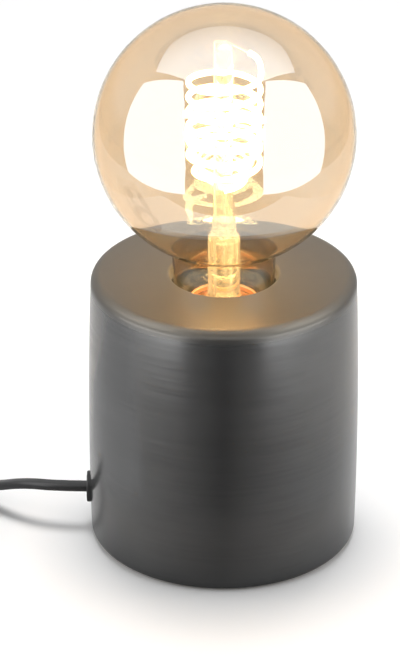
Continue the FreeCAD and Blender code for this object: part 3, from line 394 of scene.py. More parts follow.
def capped(rings):
    """Faces of a tube through rings of vertex numbers, closed at both ends."""
    faces = []
    for low, high in zip(rings, rings[1:]):
        faces += ring_faces(low, high)
    return faces + [tuple(rings[0]), tuple(reversed(rings[-1]))]


def looped(rings):
    """Faces of a tube through rings of vertex numbers whose end meets its start."""
    faces = []
    for first, second in zip(rings, rings[1:] + rings[:1]):
        faces += ring_faces(first, second)
    return faces


def sweep(path, outline, sides=None):
    """Closed tube: an outline of (across, up) points carried along a path."""
    tangents = directions(path)
    verts, rings = [], []
    for centre, tangent, across in zip(path, tangents, sides or carried_sides(tangents)):
        up = across.cross(tangent)
        rings.append(list(range(len(verts), len(verts) + len(outline))))
        verts += [centre + across * a + up * b for a, b in outline]
    return verts, capped(rings)


def circle(radius, count=12):
    """Outline of a round tube."""
    return [(radius * math.cos(2 * math.pi * k / count), radius * math.sin(2 * math.pi * k / count))
            for k in range(count)]


def obround(width, height, steps=10):
    """Outline of a flat cord: two half circles joined by straight sides."""
    radius = height / 2
    reach = (width - height) / 2
    points = []
    for sign in (1, -1):
        for k in range(steps + 1):
            angle = math.pi * k / steps - math.pi / 2
            points.append((sign * (reach + radius * math.cos(angle)), sign * radius * math.sin(angle)))
    return points


def nurbs_points(name, points, resolution=10):
    """Points along the smooth curve that a list of control points makes."""
    curve = bpy.data.curves.new(name, "CURVE")
    curve.dimensions = "3D"
    curve.resolution_u = resolution
    spline = curve.splines.new("NURBS")
    spline.points.add(len(points) - 1)
    for knot, place in zip(spline.points, points):
        knot.co = (*place, 1.0)
    spline.order_u = 3
    spline.use_endpoint_u = True
    holder = bpy.data.objects.new(name, curve)
    mesh = bpy.data.meshes.new_from_object(holder)
    path = [v.co.copy() for v in mesh.vertices]
    bpy.data.objects.remove(holder)
    bpy.data.meshes.remove(mesh)
    bpy.data.curves.remove(curve)
    return path


class Nodes:
    """A node tree, with short calls for the nodes used here."""

    def __init__(self, tree):
        self.tree = tree

    def node(self, kind, **values):
        made = self.tree.nodes.new(kind)
        for name, value in values.items():
            setattr(made, name, value)
        return made

    def link(self, source, target):
        self.tree.links.new(source, target)

    def feed(self, socket, value):
        """Links a socket to another's output, or sets the number or colour that it holds."""
        if isinstance(value, bpy.types.NodeSocket):
            self.link(value, socket)
        else:
            socket.default_value = (*value, 1.0) if isinstance(value, tuple) else value

    def number(self, operation, *values, clamp=False):
        made = self.node("ShaderNodeMath", operation=operation, use_clamp=clamp)
        for socket, value in zip(made.inputs, values):
            self.feed(socket, value)
        return made.outputs[0]

    def mapped(self, value, low, high, from_low=0.3, from_high=0.7, kind="LINEAR"):
        ranged = self.node("ShaderNodeMapRange", interpolation_type=kind)
        for name, number in (("From Min", from_low), ("From Max", from_high),
                             ("To Min", low), ("To Max", high)):
            ranged.inputs[name].default_value = number
        self.link(value, ranged.inputs["Value"])
        return ranged.outputs["Result"]

    def mixed(self, factor, first, second):
        mix = self.node("ShaderNodeMix", data_type="RGBA")
        self.feed(mix.inputs[6], first)
        self.feed(mix.inputs[7], second)
        self.link(factor, mix.inputs[0])
        return mix.outputs[2]

    def blended(self, factor, first, second):
        """A mix of two surface shaders."""
        mix = self.node("ShaderNodeMixShader")
        for socket, source in zip(mix.inputs, (factor, first, second)):
            self.link(source, socket)
        return mix.outputs[0]

    def split(self, vector):
        """A vector's X, Y and Z."""
        parts = self.node("ShaderNodeSeparateXYZ")
        self.link(vector, parts.inputs[0])
        return parts.outputs

    def rays(self):
        return self.node("ShaderNodeLightPath").outputs

    def mirrored(self):
        """1 for a ray that a surface has reflected, and 0 for one that glass has let through."""
        rays = self.rays()
        return self.number("SUBTRACT", rays["Is Glossy Ray"], rays["Is Transmission Ray"], clamp=True)


class Shader(Nodes):
    """A material's node tree, with its surface and its coordinates."""

    def __init__(self, name):
        self.material = bpy.data.materials.new(name)
        self.material.use_nodes = True
        super().__init__(self.material.node_tree)
        self.surface = self.tree.nodes["Principled BSDF"]
        self.output = self.tree.nodes["Material Output"]

    def set(self, **values):
        """Plain values of the surface, with _ for a space in an input's name."""
        for name, value in values.items():
            self.surface.inputs[name.replace("_", " ")].default_value = value

    def place(self, scale=(1.0, 1.0, 1.0)):
        """Object coordinates in metres, scaled along each axis."""
        coordinates = self.node("ShaderNodeTexCoord")
        mapping = self.node("ShaderNodeMapping")
        mapping.inputs["Scale"].default_value = scale
        self.link(coordinates.outputs["Object"], mapping.inputs["Vector"])
        return mapping.outputs["Vector"]

    def noise(self, scale, detail=4.0, roughness=0.55, stretch=(1.0, 1.0, 1.0)):
        texture = self.node("ShaderNodeTexNoise")
        texture.inputs["Scale"].default_value = scale
        texture.inputs["Detail"].default_value = detail
        texture.inputs["Roughness"].default_value = roughness
        self.link(self.place(stretch), texture.inputs["Vector"])
        return texture.outputs["Fac"]

    def bump(self, height, strength, distance=relief_depth):
        made = self.node("ShaderNodeBump")
        made.inputs["Strength"].default_value = strength
        made.inputs["Distance"].default_value = distance
        self.link(height, made.inputs["Height"])
        self.link(made.outputs["Normal"], self.surface.inputs["Normal"])

    def finish_glass(self, surface, shadow_tint):
        """Shows a surface, but lets light straight through it, tinted."""
        clear = self.node("ShaderNodeBsdfTransparent")
        clear.inputs["Color"].default_value = shadow_tint
        either = self.blended(self.rays()["Is Shadow Ray"], surface, clear.outputs[0])
        self.link(either, self.output.inputs["Surface"])
        return self.material


def speckled(name, dark, light, rough, metallic=0.0, scale=900.0, relief=0.02):
    """A plain moulded, cast or plated finish: two close colours, uneven gloss and a fine relief."""
    shader = Shader(name)
    grain = shader.noise(scale)
    shader.link(shader.mixed(shader.mapped(grain, 0.0, 1.0), dark, light),
                shader.surface.inputs["Base Color"])
    shader.link(shader.mapped(shader.noise(scale / 6), *rough), shader.surface.inputs["Roughness"])
    shader.set(Metallic=metallic)
    shader.bump(grain, relief)
    return shader.material


def glaze():
    """Dark satin glaze with a metal sheen, fine turning streaks, a duller top with a painted warm glow of the
    bulb's light, and a bare foot.
    """
    shader = Shader("gunmetal_glaze")
    streaks = shader.noise(26.0, 6.0, 0.6, (1.0, 1.0, 34.0))
    clouds = shader.noise(38.0, 5.0, 0.55, (1.0, 1.0, 1.6))
    tone = shader.mixed(shader.mapped(clouds, 0.0, 1.0), glaze_dark, glaze_light)
    streaked = shader.mixed(shader.mapped(streaks, 0.0, 0.5), tone, glaze_streak)
    height = shader.split(shader.place())["Z"]
    bare = shader.mapped(height, 1.0, 0.0, *bare_foot)
    level = shader.mapped(height, 0.0, 1.0, dull_and_glow_from, dull_and_glow_to)
    # The top takes a painted warm glow of the bulb's light; its dullness comes from the roughness below.
    glaze_with_painted_glow = shader.mixed(level, streaked, glaze_top_painted_glow)
    shader.link(shader.mixed(bare, glaze_with_painted_glow, bare_clay), shader.surface.inputs["Base Color"])
    uneven = shader.mapped(streaks, side_roughness - roughness_spread, side_roughness + roughness_spread)
    shader.link(shader.number("MULTIPLY_ADD", level, top_roughness - side_roughness, uneven),
                shader.surface.inputs["Roughness"])
    shader.set(Metallic=glaze_metal)
    shader.bump(streaks, glaze_relief)
    return shader.material


def amber_glass():
    """Thin glass with a half-mirror amber coating that is weaker at the globe's edge."""
    shader = Shader("amber_glass")
    shader.set(Base_Color=amber_tint, Roughness=0.0, IOR=amber_ior, Transmission_Weight=1.0)
    mirror = shader.node("ShaderNodeBsdfGlossy")
    mirror.inputs["Color"].default_value = amber_mirror
    mirror.inputs["Roughness"].default_value = 0.0
    edge = shader.node("ShaderNodeLayerWeight")
    edge.inputs["Blend"].default_value = 0.5
    share = shader.mapped(edge.outputs["Facing"], *amber_mirror_share, *amber_mirror_edge)
    coated = shader.blended(share, shader.surface.outputs[0], mirror.outputs[0])
    return shader.finish_glass(coated, amber_shadow)


def clear_glass():
    """Pressed glass with fine upright streaks that catch the light."""
    shader = Shader("clear_glass")
    shader.set(Base_Color=clear_tint, Roughness=0.02, IOR=clear_ior, Transmission_Weight=1.0)
    shader.bump(shader.noise(260.0, 3.0), *press_relief)
    haze = shader.node("ShaderNodeBsdfTranslucent")
    haze.inputs["Color"].default_value = haze_tint
    streaks = shader.noise(420.0, 2.0, 0.5, (1.0, 1.0, 0.06))
    share = shader.mapped(streaks, *haze_share, *haze_edge)
    milky = shader.blended(share, shader.surface.outputs[0], haze.outputs[0])
    return shader.finish_glass(milky, clear_shadow)


def glowing_coating():
    """Phosphor coating of the filament, lit."""
    shader = Shader("lit_filament")
    grain = shader.noise(500.0, 3.0)
    shader.link(shader.mixed(shader.mapped(grain, 0.0, 1.0), glow_deep, glow_pale),
                shader.surface.inputs["Emission Color"])
    shader.set(Base_Color=filament_powder, Roughness=0.6, Emission_Strength=filament_glow)
    return shader.material


def nickel():
    """Bright plated sheet; inside the cap the cement has a painted orange glow, and the brim a painted
    highlight.

    All that stands above the brim, such as the wires in the bulb, takes the same painted highlight.
    """
    shader = Shader("nickel")
    grain = shader.noise(200.0)
    plated = shader.mixed(shader.mapped(grain, 0.0, 1.0), plate_dark, plate_light)
    place = shader.split(shader.place())
    radius = shader.number("SQRT", shader.number("ADD", shader.number("MULTIPLY", place["X"], place["X"]),
                                                 shader.number("MULTIPLY", place["Y"], place["Y"])))
    wall = shader.mapped(radius, 1.0, 0.0, *cement_wall)
    ring = shader.mapped(radius, 0.0, 1.0, *cement_ring)
    upper = shader.mapped(place["Z"], 0.0, 1.0, *cement_height)
    inside = shader.number("MULTIPLY", shader.number("MULTIPLY", wall, ring), upper)
    # A painted highlight on the brim and on all above it; below it, the painted orange glow on the cement.
    brim = shader.mapped(place["Z"], 0.0, 1.0, *painted_highlight_band)
    covered = shader.number("MAXIMUM", inside, brim)
    cement = shader.mixed(brim, cement_painted_glow, brim_painted_highlight)
    shader.link(shader.mixed(covered, plated, cement), shader.surface.inputs["Base Color"])
    shader.link(shader.mapped(covered, 1.0, 0.0, 0.0, 1.0), shader.surface.inputs["Metallic"])
    shader.link(shader.mapped(covered, 0.2, 0.8, 0.0, 1.0), shader.surface.inputs["Roughness"])
    shader.bump(grain, 0.02)
    return shader.material


def make_materials():
    """One material for each slot of the record."""
    return {
        "glaze": glaze(),
        "black_plastic": speckled("black_plastic", (0.011, 0.011, 0.011), (0.017, 0.017, 0.017), (0.38, 0.5)),
        "foam": speckled("foam", (0.02, 0.02, 0.02), (0.045, 0.045, 0.045), (0.85, 0.95), relief=0.6),
        "zinc_steel": speckled("zinc_steel", (0.52, 0.52, 0.5), (0.66, 0.66, 0.64), (0.28, 0.42), 1.0, 260.0),
        "brass": speckled("brass", (0.72, 0.5, 0.22), (0.84, 0.62, 0.32), (0.22, 0.34), 1.0, 260.0),
        "holder_plastic": speckled("holder_plastic", (0.012, 0.012, 0.012), (0.02, 0.02, 0.02), (0.22, 0.3)),
        "porcelain": speckled("porcelain", (0.78, 0.76, 0.7), (0.86, 0.84, 0.79), (0.2, 0.3), relief=0.05),
        "amber_glass": amber_glass(),
        "clear_glass": clear_glass(),
        "filament": glowing_coating(),
        "nickel": nickel(),
        "black_glass": speckled("black_glass", (0.01, 0.01, 0.012), (0.016, 0.016, 0.018), (0.05, 0.12)),
        "solder": speckled("solder", (0.5, 0.5, 0.51), (0.66, 0.66, 0.67), (0.3, 0.5), 1.0, 400.0, 0.3),
        "circuit_board": speckled("circuit_board", (0.62, 0.5, 0.3), (0.72, 0.6, 0.4), (0.5, 0.65)),
        "cord_sheath": speckled("cord_sheath", (0.011, 0.011, 0.012), (0.016, 0.016, 0.017), (0.34, 0.46)),
        "core_brown": speckled("core_brown", (0.14, 0.05, 0.02), (0.2, 0.08, 0.03), (0.3, 0.4)),
        "core_blue": speckled("core_blue", (0.02, 0.1, 0.38), (0.03, 0.14, 0.48), (0.3, 0.4)),
        "tie": speckled("tie", (0.012, 0.012, 0.012), (0.022, 0.022, 0.022), (0.7, 0.85), relief=0.3),
        "white_plastic": speckled("white_plastic", (0.7, 0.7, 0.67), (0.76, 0.76, 0.73), (0.4, 0.5)),
    }


materials = make_materials()


def dress(obj, slot_name, body, *nodes):
    """Gives a piece its material and body, and hides the nodes that it stands for."""
    obj.data.materials.clear()
    obj.data.materials.append(materials[slot_name])
    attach(obj, body)
    if nodes:
        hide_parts(*nodes)
    return obj


def dress_cad_nodes():
    """A procedural material for every node of the record, by its slot."""
    for part in frame["record"]["subparts"]:
        obj = frame["nodes"][part["node"]]
        obj.data.materials.clear()
        obj.data.materials.append(materials[part["material_slot"]])


def drum_outline():
    """The drum's section: foot, bulged side, shoulder, roof, neck hole and the inside."""
    low, high = drum_low.z, drum_high.z

    def side(z):
        share = (z - low) / (high - low)
        bow = 2 * (drum_foot_r - 2 * drum_belly_r + drum_top_r)
        return drum_foot_r + (drum_top_r - drum_foot_r - bow) * share + bow * share * share

    def lean(z):
        step = 0.5 * mm
        return math.degrees(math.atan2(side(z - step) - side(z + step), 2 * step))

    inner_low = drum_foot_r - drum_wall
    foot_z = low + foot_round
    foot_lean = lean(foot_z)
    foot_r = side(foot_z) - foot_round * math.cos(math.radians(foot_lean))
    shoulder_z = high - shoulder_round
    top_lean = lean(shoulder_z)
    shoulder_r = side(shoulder_z) - shoulder_round * math.cos(math.radians(top_lean))
    outline = [(inner_low, low)]
    outline += arc(foot_r, foot_z, foot_round, -90.0, foot_lean)
    side_steps = 24
    start = foot_z + foot_round * math.sin(math.radians(foot_lean))
    end = shoulder_z + shoulder_round * math.sin(math.radians(top_lean))
    for k in range(1, side_steps):
        z = start + (end - start) * k / side_steps
        outline.append((side(z), z))
    outline += arc(shoulder_r, shoulder_z, shoulder_round, top_lean, 90.0, 16)
    outline.append(((shoulder_r + neck_hole_r) / 2, high))
    outline += arc(neck_hole_r + neck_hole_round, high - neck_hole_round, neck_hole_round, 90.0, 180.0)
    roof = high - drum_roof
    outline.append((neck_hole_r, roof))
    inner_r = side(roof) - drum_wall
    outline += arc(inner_r - roof_inner_round, roof - roof_inner_round, roof_inner_round, 90.0, 0.0)
    outline.append((side((low + high) / 2) - drum_wall, (low + high) / 2))
    return outline


def make_drum():
    """The drum with the bosses that hold the inserts for the plate's screws."""
    parts = [lathe(drum_outline(), large_segments)]
    hole_top = boss_low_z + insert_hole_depth
    for k in range(boss_count):
        angle = 2 * math.pi * k / boss_count
        verts, faces = lathe([(boss_r, boss_low_z), (boss_r, boss_top), (0.0, boss_top), (0.0, hole_top),
                              (insert_hole_r, hole_top), (insert_hole_r, boss_low_z)], boss_segments)
        move = Vector((boss_circle_r * math.cos(angle), boss_circle_r * math.sin(angle), 0.0))
        parts.append(([v + move for v in verts], faces))
    drum = mesh_object("drum_body", *joined(parts), smooth_deg=40.0)
    return dress(drum, "glaze", "lamp", "ceramic_body")


def globe_outline(inset):
    """Globe, flared neck and skirt, from the top down, inset by a wall."""
    radius = globe_r - inset
    neck_top = neck_top_r - inset
    neck_low = neck_low_r - inset
    flare = neck_flare_r + inset
    flare_x = neck_top + flare
    flare_z = globe_centre_z - math.sqrt((radius + flare) ** 2 - flare_x ** 2)
    side = math.degrees(math.atan2(flare_z - globe_centre_z, flare_x))
    outline = arc(0.0, globe_centre_z, radius, 90.0, side, 72)[1:]
    outline += arc(flare_x, flare_z, flare, side + 180.0, 180.0, 14)[1:]
    shoulder = neck_low_r - neck_skirt_r
    neck_end = cap_top_z + shoulder
    outline += arc(neck_low - shoulder + inset, neck_end, shoulder - inset, 0.0, -90.0, 12)
    outline.append((neck_skirt_r - inset, globe_low.z))
    return outline


def make_globe():
    """Globe and neck of the bulb, blown in one piece of thin glass."""
    outer = globe_outline(0.0)
    inner = globe_outline(glass_wall)
    outline = [(0.0, globe_centre_z + globe_r)] + outer + inner[::-1]
    outline.append((0.0, globe_centre_z + globe_r - glass_wall))
    glass = lathe(outline, large_segments, closed=False)
    globe = mesh_object("bulb_glass_globe", *glass, smooth_deg=50.0)
    return dress(globe, "amber_glass", "bulb", "bulb_globe")


def stem_outline(inset):
    """Flared foot and closed tube of the glass mount, from the foot up, inset by a wall."""
    foot = stem_foot_r - inset
    tube = stem_r - inset
    top = stem_top_z - inset
    bend = tube / 2
    flare_steps = 10
    outline = []
    for k in range(flare_steps + 1):
        share = k / flare_steps
        outline.append((foot + (tube - foot) * math.sin(share * math.pi / 2),
                        stem_foot_z + (stem_waist_z - stem_foot_z) * (1 - math.cos(share * math.pi / 2))))
    outline += arc(tube - bend, top - bend, bend, 0.0, 90.0, 10)
    outline.append((0.0, top))
    return outline


def make_stem():
    """Glass mount, flattened press and clear rod."""
    shell = lathe(stem_outline(0.0) + stem_outline(glass_wall)[::-1], stem_segments, closed=False)
    press_rings = []
    verts = []
    press_low = stem_top_z - stem_r / 2
    start_r = stem_r * press_start
    for k in range(press_steps + 1):
        share = k / press_steps
        pinch = math.sin(min(share * press_pinch_speed, 1.0) * math.pi / 2)
        half_x = start_r + (press_width / 2 - start_r) * pinch
        half_y = start_r + (press_depth / 2 - start_r) * pinch
        past = max(0.0, (share - press_round_from) / (1 - press_round_from))
        close = press_end + (1 - press_end) * math.sqrt(max(0.0, 1 - past ** 2))
        z = press_low + (press_top_z - press_low) * share
        press_rings.append(list(range(len(verts), len(verts) + press_points)))
        for n in range(press_points):
            angle = 2 * math.pi * n / press_points
            across, depth = math.cos(angle), math.sin(angle)
            square = (abs(across) ** 3 + abs(depth) ** 3) ** (-1 / 3)
            verts.append(Vector((half_x * across * square * close, half_y * depth * square * close, z)))
    press = (verts, capped(press_rings))
    rod = [(0.0, press_top_z - press_depth / 2), (rod_r, press_top_z - press_depth / 2)]
    rod += arc(0.0, rod_top_z - rod_r, rod_r, 0.0, 90.0, 10)
    parts = [shell, press, lathe(rod, rod_segments, closed=False)]
    stem = mesh_object("bulb_glass_stem", *joined(parts))
    return dress(stem, "clear_glass", "bulb", "bulb_stem")


def filament_path():
    """Hooked top end, wide turns and the narrowing tail."""
    hook = [p + Vector((0, 0, helix_top_z)) for p in reversed(scaled(hook_points))]
    turns = helix_turns + tail_turns
    steps = int(turns * helix_points_per_turn)
    points = []
    for k in range(1, steps + 1):
        t = turns * k / steps
        angle = -2 * math.pi * t
        share = max(0.0, (t - helix_turns) / tail_turns)
        radius = helix_r + (tail_end_r - helix_r) * eased(share)
        z = helix_top_z - helix_pitch * min(t, helix_turns) - tail_drop * share
        points.append(Vector((radius * math.cos(angle), radius * math.sin(angle), z)))
    return nurbs_points("filament_line", hook + points, 4)


def make_filament():
    """The lit thread, one round tube from its hook to its tail."""
    filament = mesh_object("bulb_spiral_filament", *sweep(filament_path(), circle(filament_r)))
    return dress(filament, "filament", "bulb", "bulb_filament")


def threaded(radius, depth, low, high, wall):
    """A thin sleeve whose sheet is rolled into a round thread between two plain ends."""
    steps = int((high - low) / thread_pitch * thread_rings_per_turn)
    verts, rings = [], []
    for shift, order in ((0.0, range(steps + 1)), (-wall, range(steps, -1, -1))):
        for k in order:
            z = low + (high - low) * k / steps
            fade = min(1.0, (z - low) / thread_plain_end, (high - z) / thread_plain_end)
            rings.append(list(range(len(verts), len(verts) + thread_points)))
            for n in range(thread_points):
                angle = 2 * math.pi * n / thread_points
                wave = 0.5 - 0.5 * math.cos(2 * math.pi * z / thread_pitch - angle)
                r = radius - depth * wave * max(fade, 0.0) + shift
                verts.append(Vector((r * math.cos(angle), r * math.sin(angle), z)))
    return verts, looped(rings)


def make_cap():
    """Screw cap of the bulb, with its rolled rim and its cone."""
    low, high = cap_box[0].z, cap_box[1].z
    cone_top = low + cap_cone_height
    rim_low = high - cap_rim_height
    cone_r = cap_r - cap_cone_inset
    thread = threaded(cap_r, cap_thread_depth, cone_top, rim_low, cap_sheet)
    rim = lathe([(cap_r - cap_sheet, rim_low), (cap_r, rim_low)]
                + arc(cap_r - cap_rim_inset, high - cap_rim_round, cap_rim_round, 0.0, 180.0, 8)
                + [(cap_r - cap_sheet - cap_rim_curl, rim_low)], thread_points)
    cone = lathe([(cap_cone_low_r, low), (cone_r, cone_top), (cone_r - cap_sheet, cone_top),
                  (cap_cone_low_r, low + cap_sheet)], thread_points)
    cap = mesh_object("bulb_screw_cap", *joined([thread, rim, cone]), smooth_deg=60.0)
    return dress(cap, "nickel", "bulb", "bulb_cap")


def make_socket_sleeve():
    """Threaded sleeve of the lampholder."""
    low, high = (corner.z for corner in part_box("screw_shell"))
    inner, outer, thick = sleeve_flange
    sleeve = threaded(sleeve_r, sleeve_thread_depth, low, high, sleeve_sheet)
    flange = lathe([(inner, low), (outer, low), (outer, low + thick), (inner, low + thick)], thread_points)
    obj = mesh_object("socket_threaded_sleeve", *joined([sleeve, flange]), smooth_deg=60.0)
    return dress(obj, "brass", "lamp", "screw_shell")


def coil_point(t):
    """Axis of the coil, t turns after the cord joins it at its front, going anticlockwise."""
    turns_per_layer = coil_turns / coil_layers
    layer = min(int(t / turns_per_layer), coil_layers - 1)
    within = t - layer * turns_per_layer
    inward = within if layer % 2 == 0 else turns_per_layer - within
    radius = coil_outer_r - coil_pitch * inward
    z = coil_lift
    for climb in range(1, coil_layers):
        start = climb * turns_per_layer - climb_turns / 2
        z += coil_layer_height * eased((t - start) / climb_turns)
    angle = 2 * math.pi * t - math.pi / 2
    return Vector((coil_x + radius * math.cos(angle), coil_y + radius * math.sin(angle), z))


def flat_sides(path, roll):
    """Side vectors of a flat cord: level where roll is 0, upright where it is 1."""
    sides = []
    for k, tangent in enumerate(directions(path)):
        level = tangent.cross(Vector((0, 0, 1))).normalized()
        turn = Quaternion(tangent, roll(k / (len(path) - 1)) * math.pi / 2)
        sides.append(turn @ level)
    return sides


def make_cord(name, path, roll, nodes):
    """One free run of the flat cord, which hides the nodes that it stands for."""
    outline = obround(cord_width, cord_height)
    obj = mesh_object(name, *sweep(path, outline, flat_sides(path, roll)), smooth_deg=50.0)
    dress(obj, "cord_sheath", "lamp", *nodes)


def make_cords():
    """The run from the lamp to the switch, and the run with its coil from there to the plug."""
    first = nurbs_points("lamp_run_line", scaled(lamp_run))
    make_cord("cord_from_lamp", first, lambda share: 0.0, ["cord_lamp_run"])
    count = int(coil_turns * coil_points_per_turn)
    turns = [coil_point(coil_turns * k / count) for k in range(count + 1)]
    route = scaled(switch_run) + turns + scaled(plug_run)
    second = nurbs_points("plug_run_line", route, 4)

    def roll(share):
        return eased(share / upright_from) - eased((share - upright_to) / (1 - upright_to))

    tie = make_tie()
    make_cord("cord_to_plug", second, roll, ["cord_switch_run", "cord_coil", "cord_plug_run"])


def make_tie():
    """Strap round the coil's bundle, with rounded corners."""
    turns_per_layer = coil_turns / coil_layers
    inner = coil_outer_r - coil_pitch * turns_per_layer - cord_height / 2 - tie_gap
    outer = coil_outer_r + cord_height / 2 + tie_gap
    low = coil_lift - cord_width / 2 + tie_sheet / 2
    top = coil_lift + coil_layer_height * (coil_layers - 1) + cord_width / 2 + tie_top_gap
    inner_r, outer_r = inner + tie_bend, outer - tie_bend
    low_z, top_z = low + tie_bend, top - tie_bend
    loop = []
    for centre_r, centre_z, start in ((outer_r, low_z, -90.0), (outer_r, top_z, 0.0),
                                      (inner_r, top_z, 90.0), (inner_r, low_z, 180.0)):
        loop += arc(centre_r, centre_z, tie_bend, start, start + 90.0, 6)
    half = tie_sheet / 2
    verts, rings = [], []
    for k, (r, z) in enumerate(loop):
        before, after = loop[k - 1], loop[(k + 1) % len(loop)]
        along = Vector((after[0] - before[0], after[1] - before[1])).normalized()
        out = Vector((along.y, -along.x))
        rings.append(list(range(len(verts), len(verts) + 4)))
        for side, y in ((-1, -1), (1, -1), (1, 1), (-1, 1)):
            verts.append(Vector((r + out.x * side * half, y * tie_width / 2, z + out.y * side * half)))
    turn = Matrix.Rotation(math.radians(tie_angle_deg), 4, "Z")
    move = Vector((coil_x, coil_y, 0.0))
    strap = mesh_object("cord_tie_strap", [turn @ v + move for v in verts], looped(rings), smooth_deg=50.0)
    return dress(strap, "tie", "lamp", "cord_tie")


def view_axes():
    """The view's upward direction, and the one from the lamp towards the camera."""
    elevation = math.radians(camera_elevation_deg)
    up = Vector((0.0, math.sin(elevation), math.cos(elevation)))
    out = Vector((0.0, -math.cos(elevation), math.sin(elevation)))
    return up, out


def make_camera():
    """The photograph's view: the drum's middle lies low and right of the image's centre."""
    data = bpy.data.cameras.new("camera")
    data.sensor_width = sensor_mm
    data.lens = focal_px / photo_height_px * sensor_mm
    data.clip_start = camera_clip
    camera = bpy.data.objects.new("camera", data)
    bpy.context.scene.collection.objects.link(camera)
    elevation = math.radians(camera_elevation_deg)
    camera.location = Vector((0.0, 0.0, target_height)) + view_axes()[1] * camera_distance
    drop = math.atan((target_px[1] - photo_centre_px[1]) / focal_px)
    swing = math.atan((target_px[0] - photo_centre_px[0]) / focal_px) / math.cos(elevation)
    camera.rotation_euler = (math.pi / 2 - elevation + drop, 0.0, swing)
    bpy.context.scene.camera = camera


def area_light(name, place, aim, size, power):
    """A soft lamp that lights surfaces but shows in no reflection and through no glass."""
    data = bpy.data.lights.new(name, "AREA")
    data.shape = "RECTANGLE"
    data.size, data.size_y = size
    data.energy = power
    light = bpy.data.objects.new(name, data)
    bpy.context.scene.collection.objects.link(light)
    light.location = place
    light.rotation_euler = (Vector(aim) - Vector(place)).to_track_quat("-Z", "Y").to_euler()
    light.visible_glossy = light.visible_transmission = False


def point_light(name, height, power, colour, radius):
    """A small lamp inside the bulb that shows in no reflection and through no glass."""
    data = bpy.data.lights.new(name, "POINT")
    data.energy = power
    data.color = colour
    data.shadow_soft_size = radius
    light = bpy.data.objects.new(name, data)
    bpy.context.scene.collection.objects.link(light)
    light.location = (0.0, 0.0, height)
    light.visible_glossy = light.visible_transmission = False


def make_world():
    """White all round to the eye; glossy surfaces show it white behind the lamp and dim elsewhere."""
    scene = bpy.context.scene
    scene.view_settings.view_transform = "Standard"
    world = bpy.data.worlds.new("studio")
    scene.world = world
    world.use_nodes = True
    sky = Nodes(world.node_tree)
    plain = sky.tree.nodes["Background"]
    plain.inputs["Color"].default_value = (1.0, 1.0, 1.0, 1.0)
    plain.inputs["Strength"].default_value = world_light
    seen = sky.node("ShaderNodeBackground")
    seen.inputs["Color"].default_value = (1.0, 1.0, 1.0, 1.0)
    way = sky.split(sky.node("ShaderNodeTexCoord").outputs["Generated"])
    smooth = "SMOOTHSTEP"
    wall = sky.number("MULTIPLY", sky.mapped(way["Y"], 0.0, back_wall - room_side, *wall_turn, smooth),
                      sky.mapped(way["Z"], 0.0, 1.0, *wall_foot, smooth))
    room = sky.number("ADD", sky.mapped(way["Y"], room_front, room_side, *room_turn, smooth), wall)
    level = sky.number("MULTIPLY_ADD", sky.mirrored(), sky.number("SUBTRACT", room, 1.0), 1.0)
    sky.link(level, seen.inputs["Strength"])
    rays = sky.rays()
    looked = sky.number("MAXIMUM", rays["Is Camera Ray"], rays["Is Glossy Ray"])
    looked = sky.number("MAXIMUM", looked, rays["Is Transmission Ray"])
    sky.link(sky.blended(looked, plain.outputs[0], seen.outputs[0]),
             sky.tree.nodes["World Output"].inputs["Surface"])


def make_floor():
    """Pale paper that fades into the white room. In gloss it ends at a table's edge and has a painted dark
    shade in front.
    """
    bpy.ops.mesh.primitive_plane_add(size=floor_size)
    floor = bpy.context.object
    floor.name = "floor"
    shader = Shader("floor_paper")
    number = shader.number
    place = shader.split(shader.place())
    aside = number("ABSOLUTE", place["X"])
    ahead = number("MULTIPLY", place["Y"], -1.0)
    reach = number("SQRT", number("ADD", number("MULTIPLY", aside, aside), number("MULTIPLY", ahead, ahead)))
    turn = number("ARCTAN2", aside, ahead)
    # A painted shade that only reflections show: the floor darker in front of the lamp, lighter to the sides
    # and far out.
    painted_gloss_shade = number("ADD", number("MULTIPLY", turn, number("MULTIPLY_ADD", reach, hood_slope, hood_side)),
                  shader.mapped(reach, *hood_dark, *hood_near))
    painted_gloss_shade = number("MAXIMUM", painted_gloss_shade, shader.mapped(reach, hood_floor, hood_top, *hood_end))
    painted_gloss_shade = number("MINIMUM", painted_gloss_shade, hood_top)
    rays = shader.rays()
    reflected = shader.mirrored()
    seen = number("MAXIMUM", rays["Is Camera Ray"], rays["Is Transmission Ray"])
    tone = shader.mixed(seen, (floor_bounce,) * 3, (floor_white,) * 3)
    paper = shader.node("ShaderNodeBsdfDiffuse")
    shader.link(shader.mixed(reflected, tone, painted_gloss_shade), paper.inputs["Color"])
    edge = number("ADD", aside, number("MAXIMUM", ahead, 0.0))
    gone = number("MULTIPLY", number("GREATER_THAN", edge, table_reach), reflected)
    gone = number("MAXIMUM", gone, number("MULTIPLY", seen, shader.mapped(reach, 0.0, 1.0, *paper_far)))
    clear = shader.node("ShaderNodeBsdfTransparent")
    shader.link(shader.blended(gone, paper.outputs[0], clear.outputs[0]), shader.output.inputs["Surface"])
    floor.data.materials.append(shader.material)


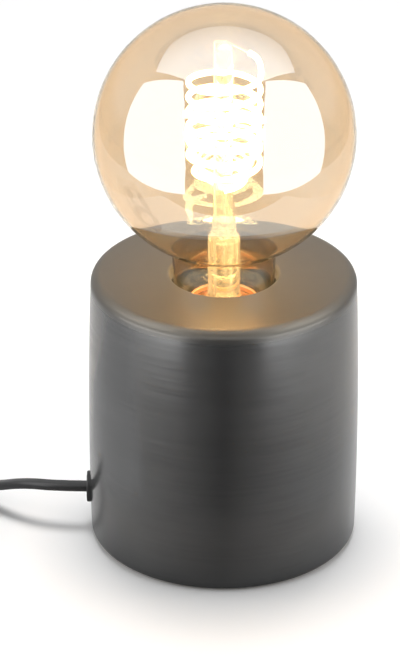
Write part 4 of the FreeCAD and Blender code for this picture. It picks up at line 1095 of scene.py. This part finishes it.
def glowing_sheet(name, verts, faces, strength, far_strength=None):
    """A lit sheet of the studio that only glossy surfaces show; it can fade from front to back."""
    obj = mesh_object(name, verts, faces)
    glow = Shader(name)
    light = glow.node("ShaderNodeEmission")
    light.inputs["Strength"].default_value = strength
    if far_strength is not None:
        place = glow.split(glow.node("ShaderNodeTexCoord").outputs["Generated"])
        glow.link(glow.mapped(place["Y"], strength, far_strength, *sky_fade), light.inputs["Strength"])
    glow.link(light.outputs[0], glow.output.inputs["Surface"])
    obj.data.materials.append(glow.material)
    for flag in ("visible_camera", "visible_diffuse", "visible_transmission", "visible_shadow"):
        setattr(obj, flag, False)


def make_sheets():
    """Side panels and a sky for the globe's windows, a tray round the drum's top, a card at the cord."""
    up, out = view_axes()
    for name, side in (("left", -1), ("right", 1)):
        centre = Vector((side * panel_distance, 0.0, globe_centre_z))
        corners = [centre + up * a + out * b for a, b in panel_corners]
        glowing_sheet("panel_" + name, corners, [tuple(range(len(corners)))], panel_glow)
    sky = [(x, y, sky_height) for x, y in sky_outline]
    glowing_sheet("panel_sky", sky, [tuple(range(len(sky)))], *sky_glow)
    inner, outer = [], []
    for k in range(tray_points):
        x, y = math.cos(2 * math.pi * k / tray_points), math.sin(2 * math.pi * k / tray_points)
        inner.append((tray_hole_r * x, tray_hole_r * y, tray_height))
        depth = tray_back if y > 0 else -tray_front
        reach = min(tray_half_width / max(abs(x), mm), depth / max(abs(y), mm))
        outer.append((reach * x, reach * y, tray_height))
    tray = ring_faces(range(tray_points), range(tray_points, 2 * tray_points))
    glowing_sheet("white_tray", inner + outer, tray, tray_glow)
    card = [(x, y, z) for x, z in ((card_near, card_lift), (card_near - card_lean, card_height),
                                   (card_far, card_height))
            for y in (-card_half_width, card_half_width)]
    glowing_sheet("white_card", card, [(0, 1, 3, 2), (2, 3, 5, 4)], card_glow)


def make_lights():
    """Soft lamps at the sides and overhead, and the small ones that help the lit filament."""
    across, front, height = soft_box_place
    for name, side in (("left", -1), ("right", 1)):
        area_light("soft_box_" + name, (side * across, front, height), soft_box_aim, soft_box_size,
                   soft_box_power)
    area_light("overhead", overhead_place, overhead_aim, overhead_size, overhead_power)
    for light in bulb_lights:
        point_light(*light)


dress_cad_nodes()
make_drum()
make_globe()
make_stem()
make_filament()
make_cap()
make_socket_sleeve()
make_cords()
make_camera()
make_world()
make_floor()
make_sheets()
make_lights()
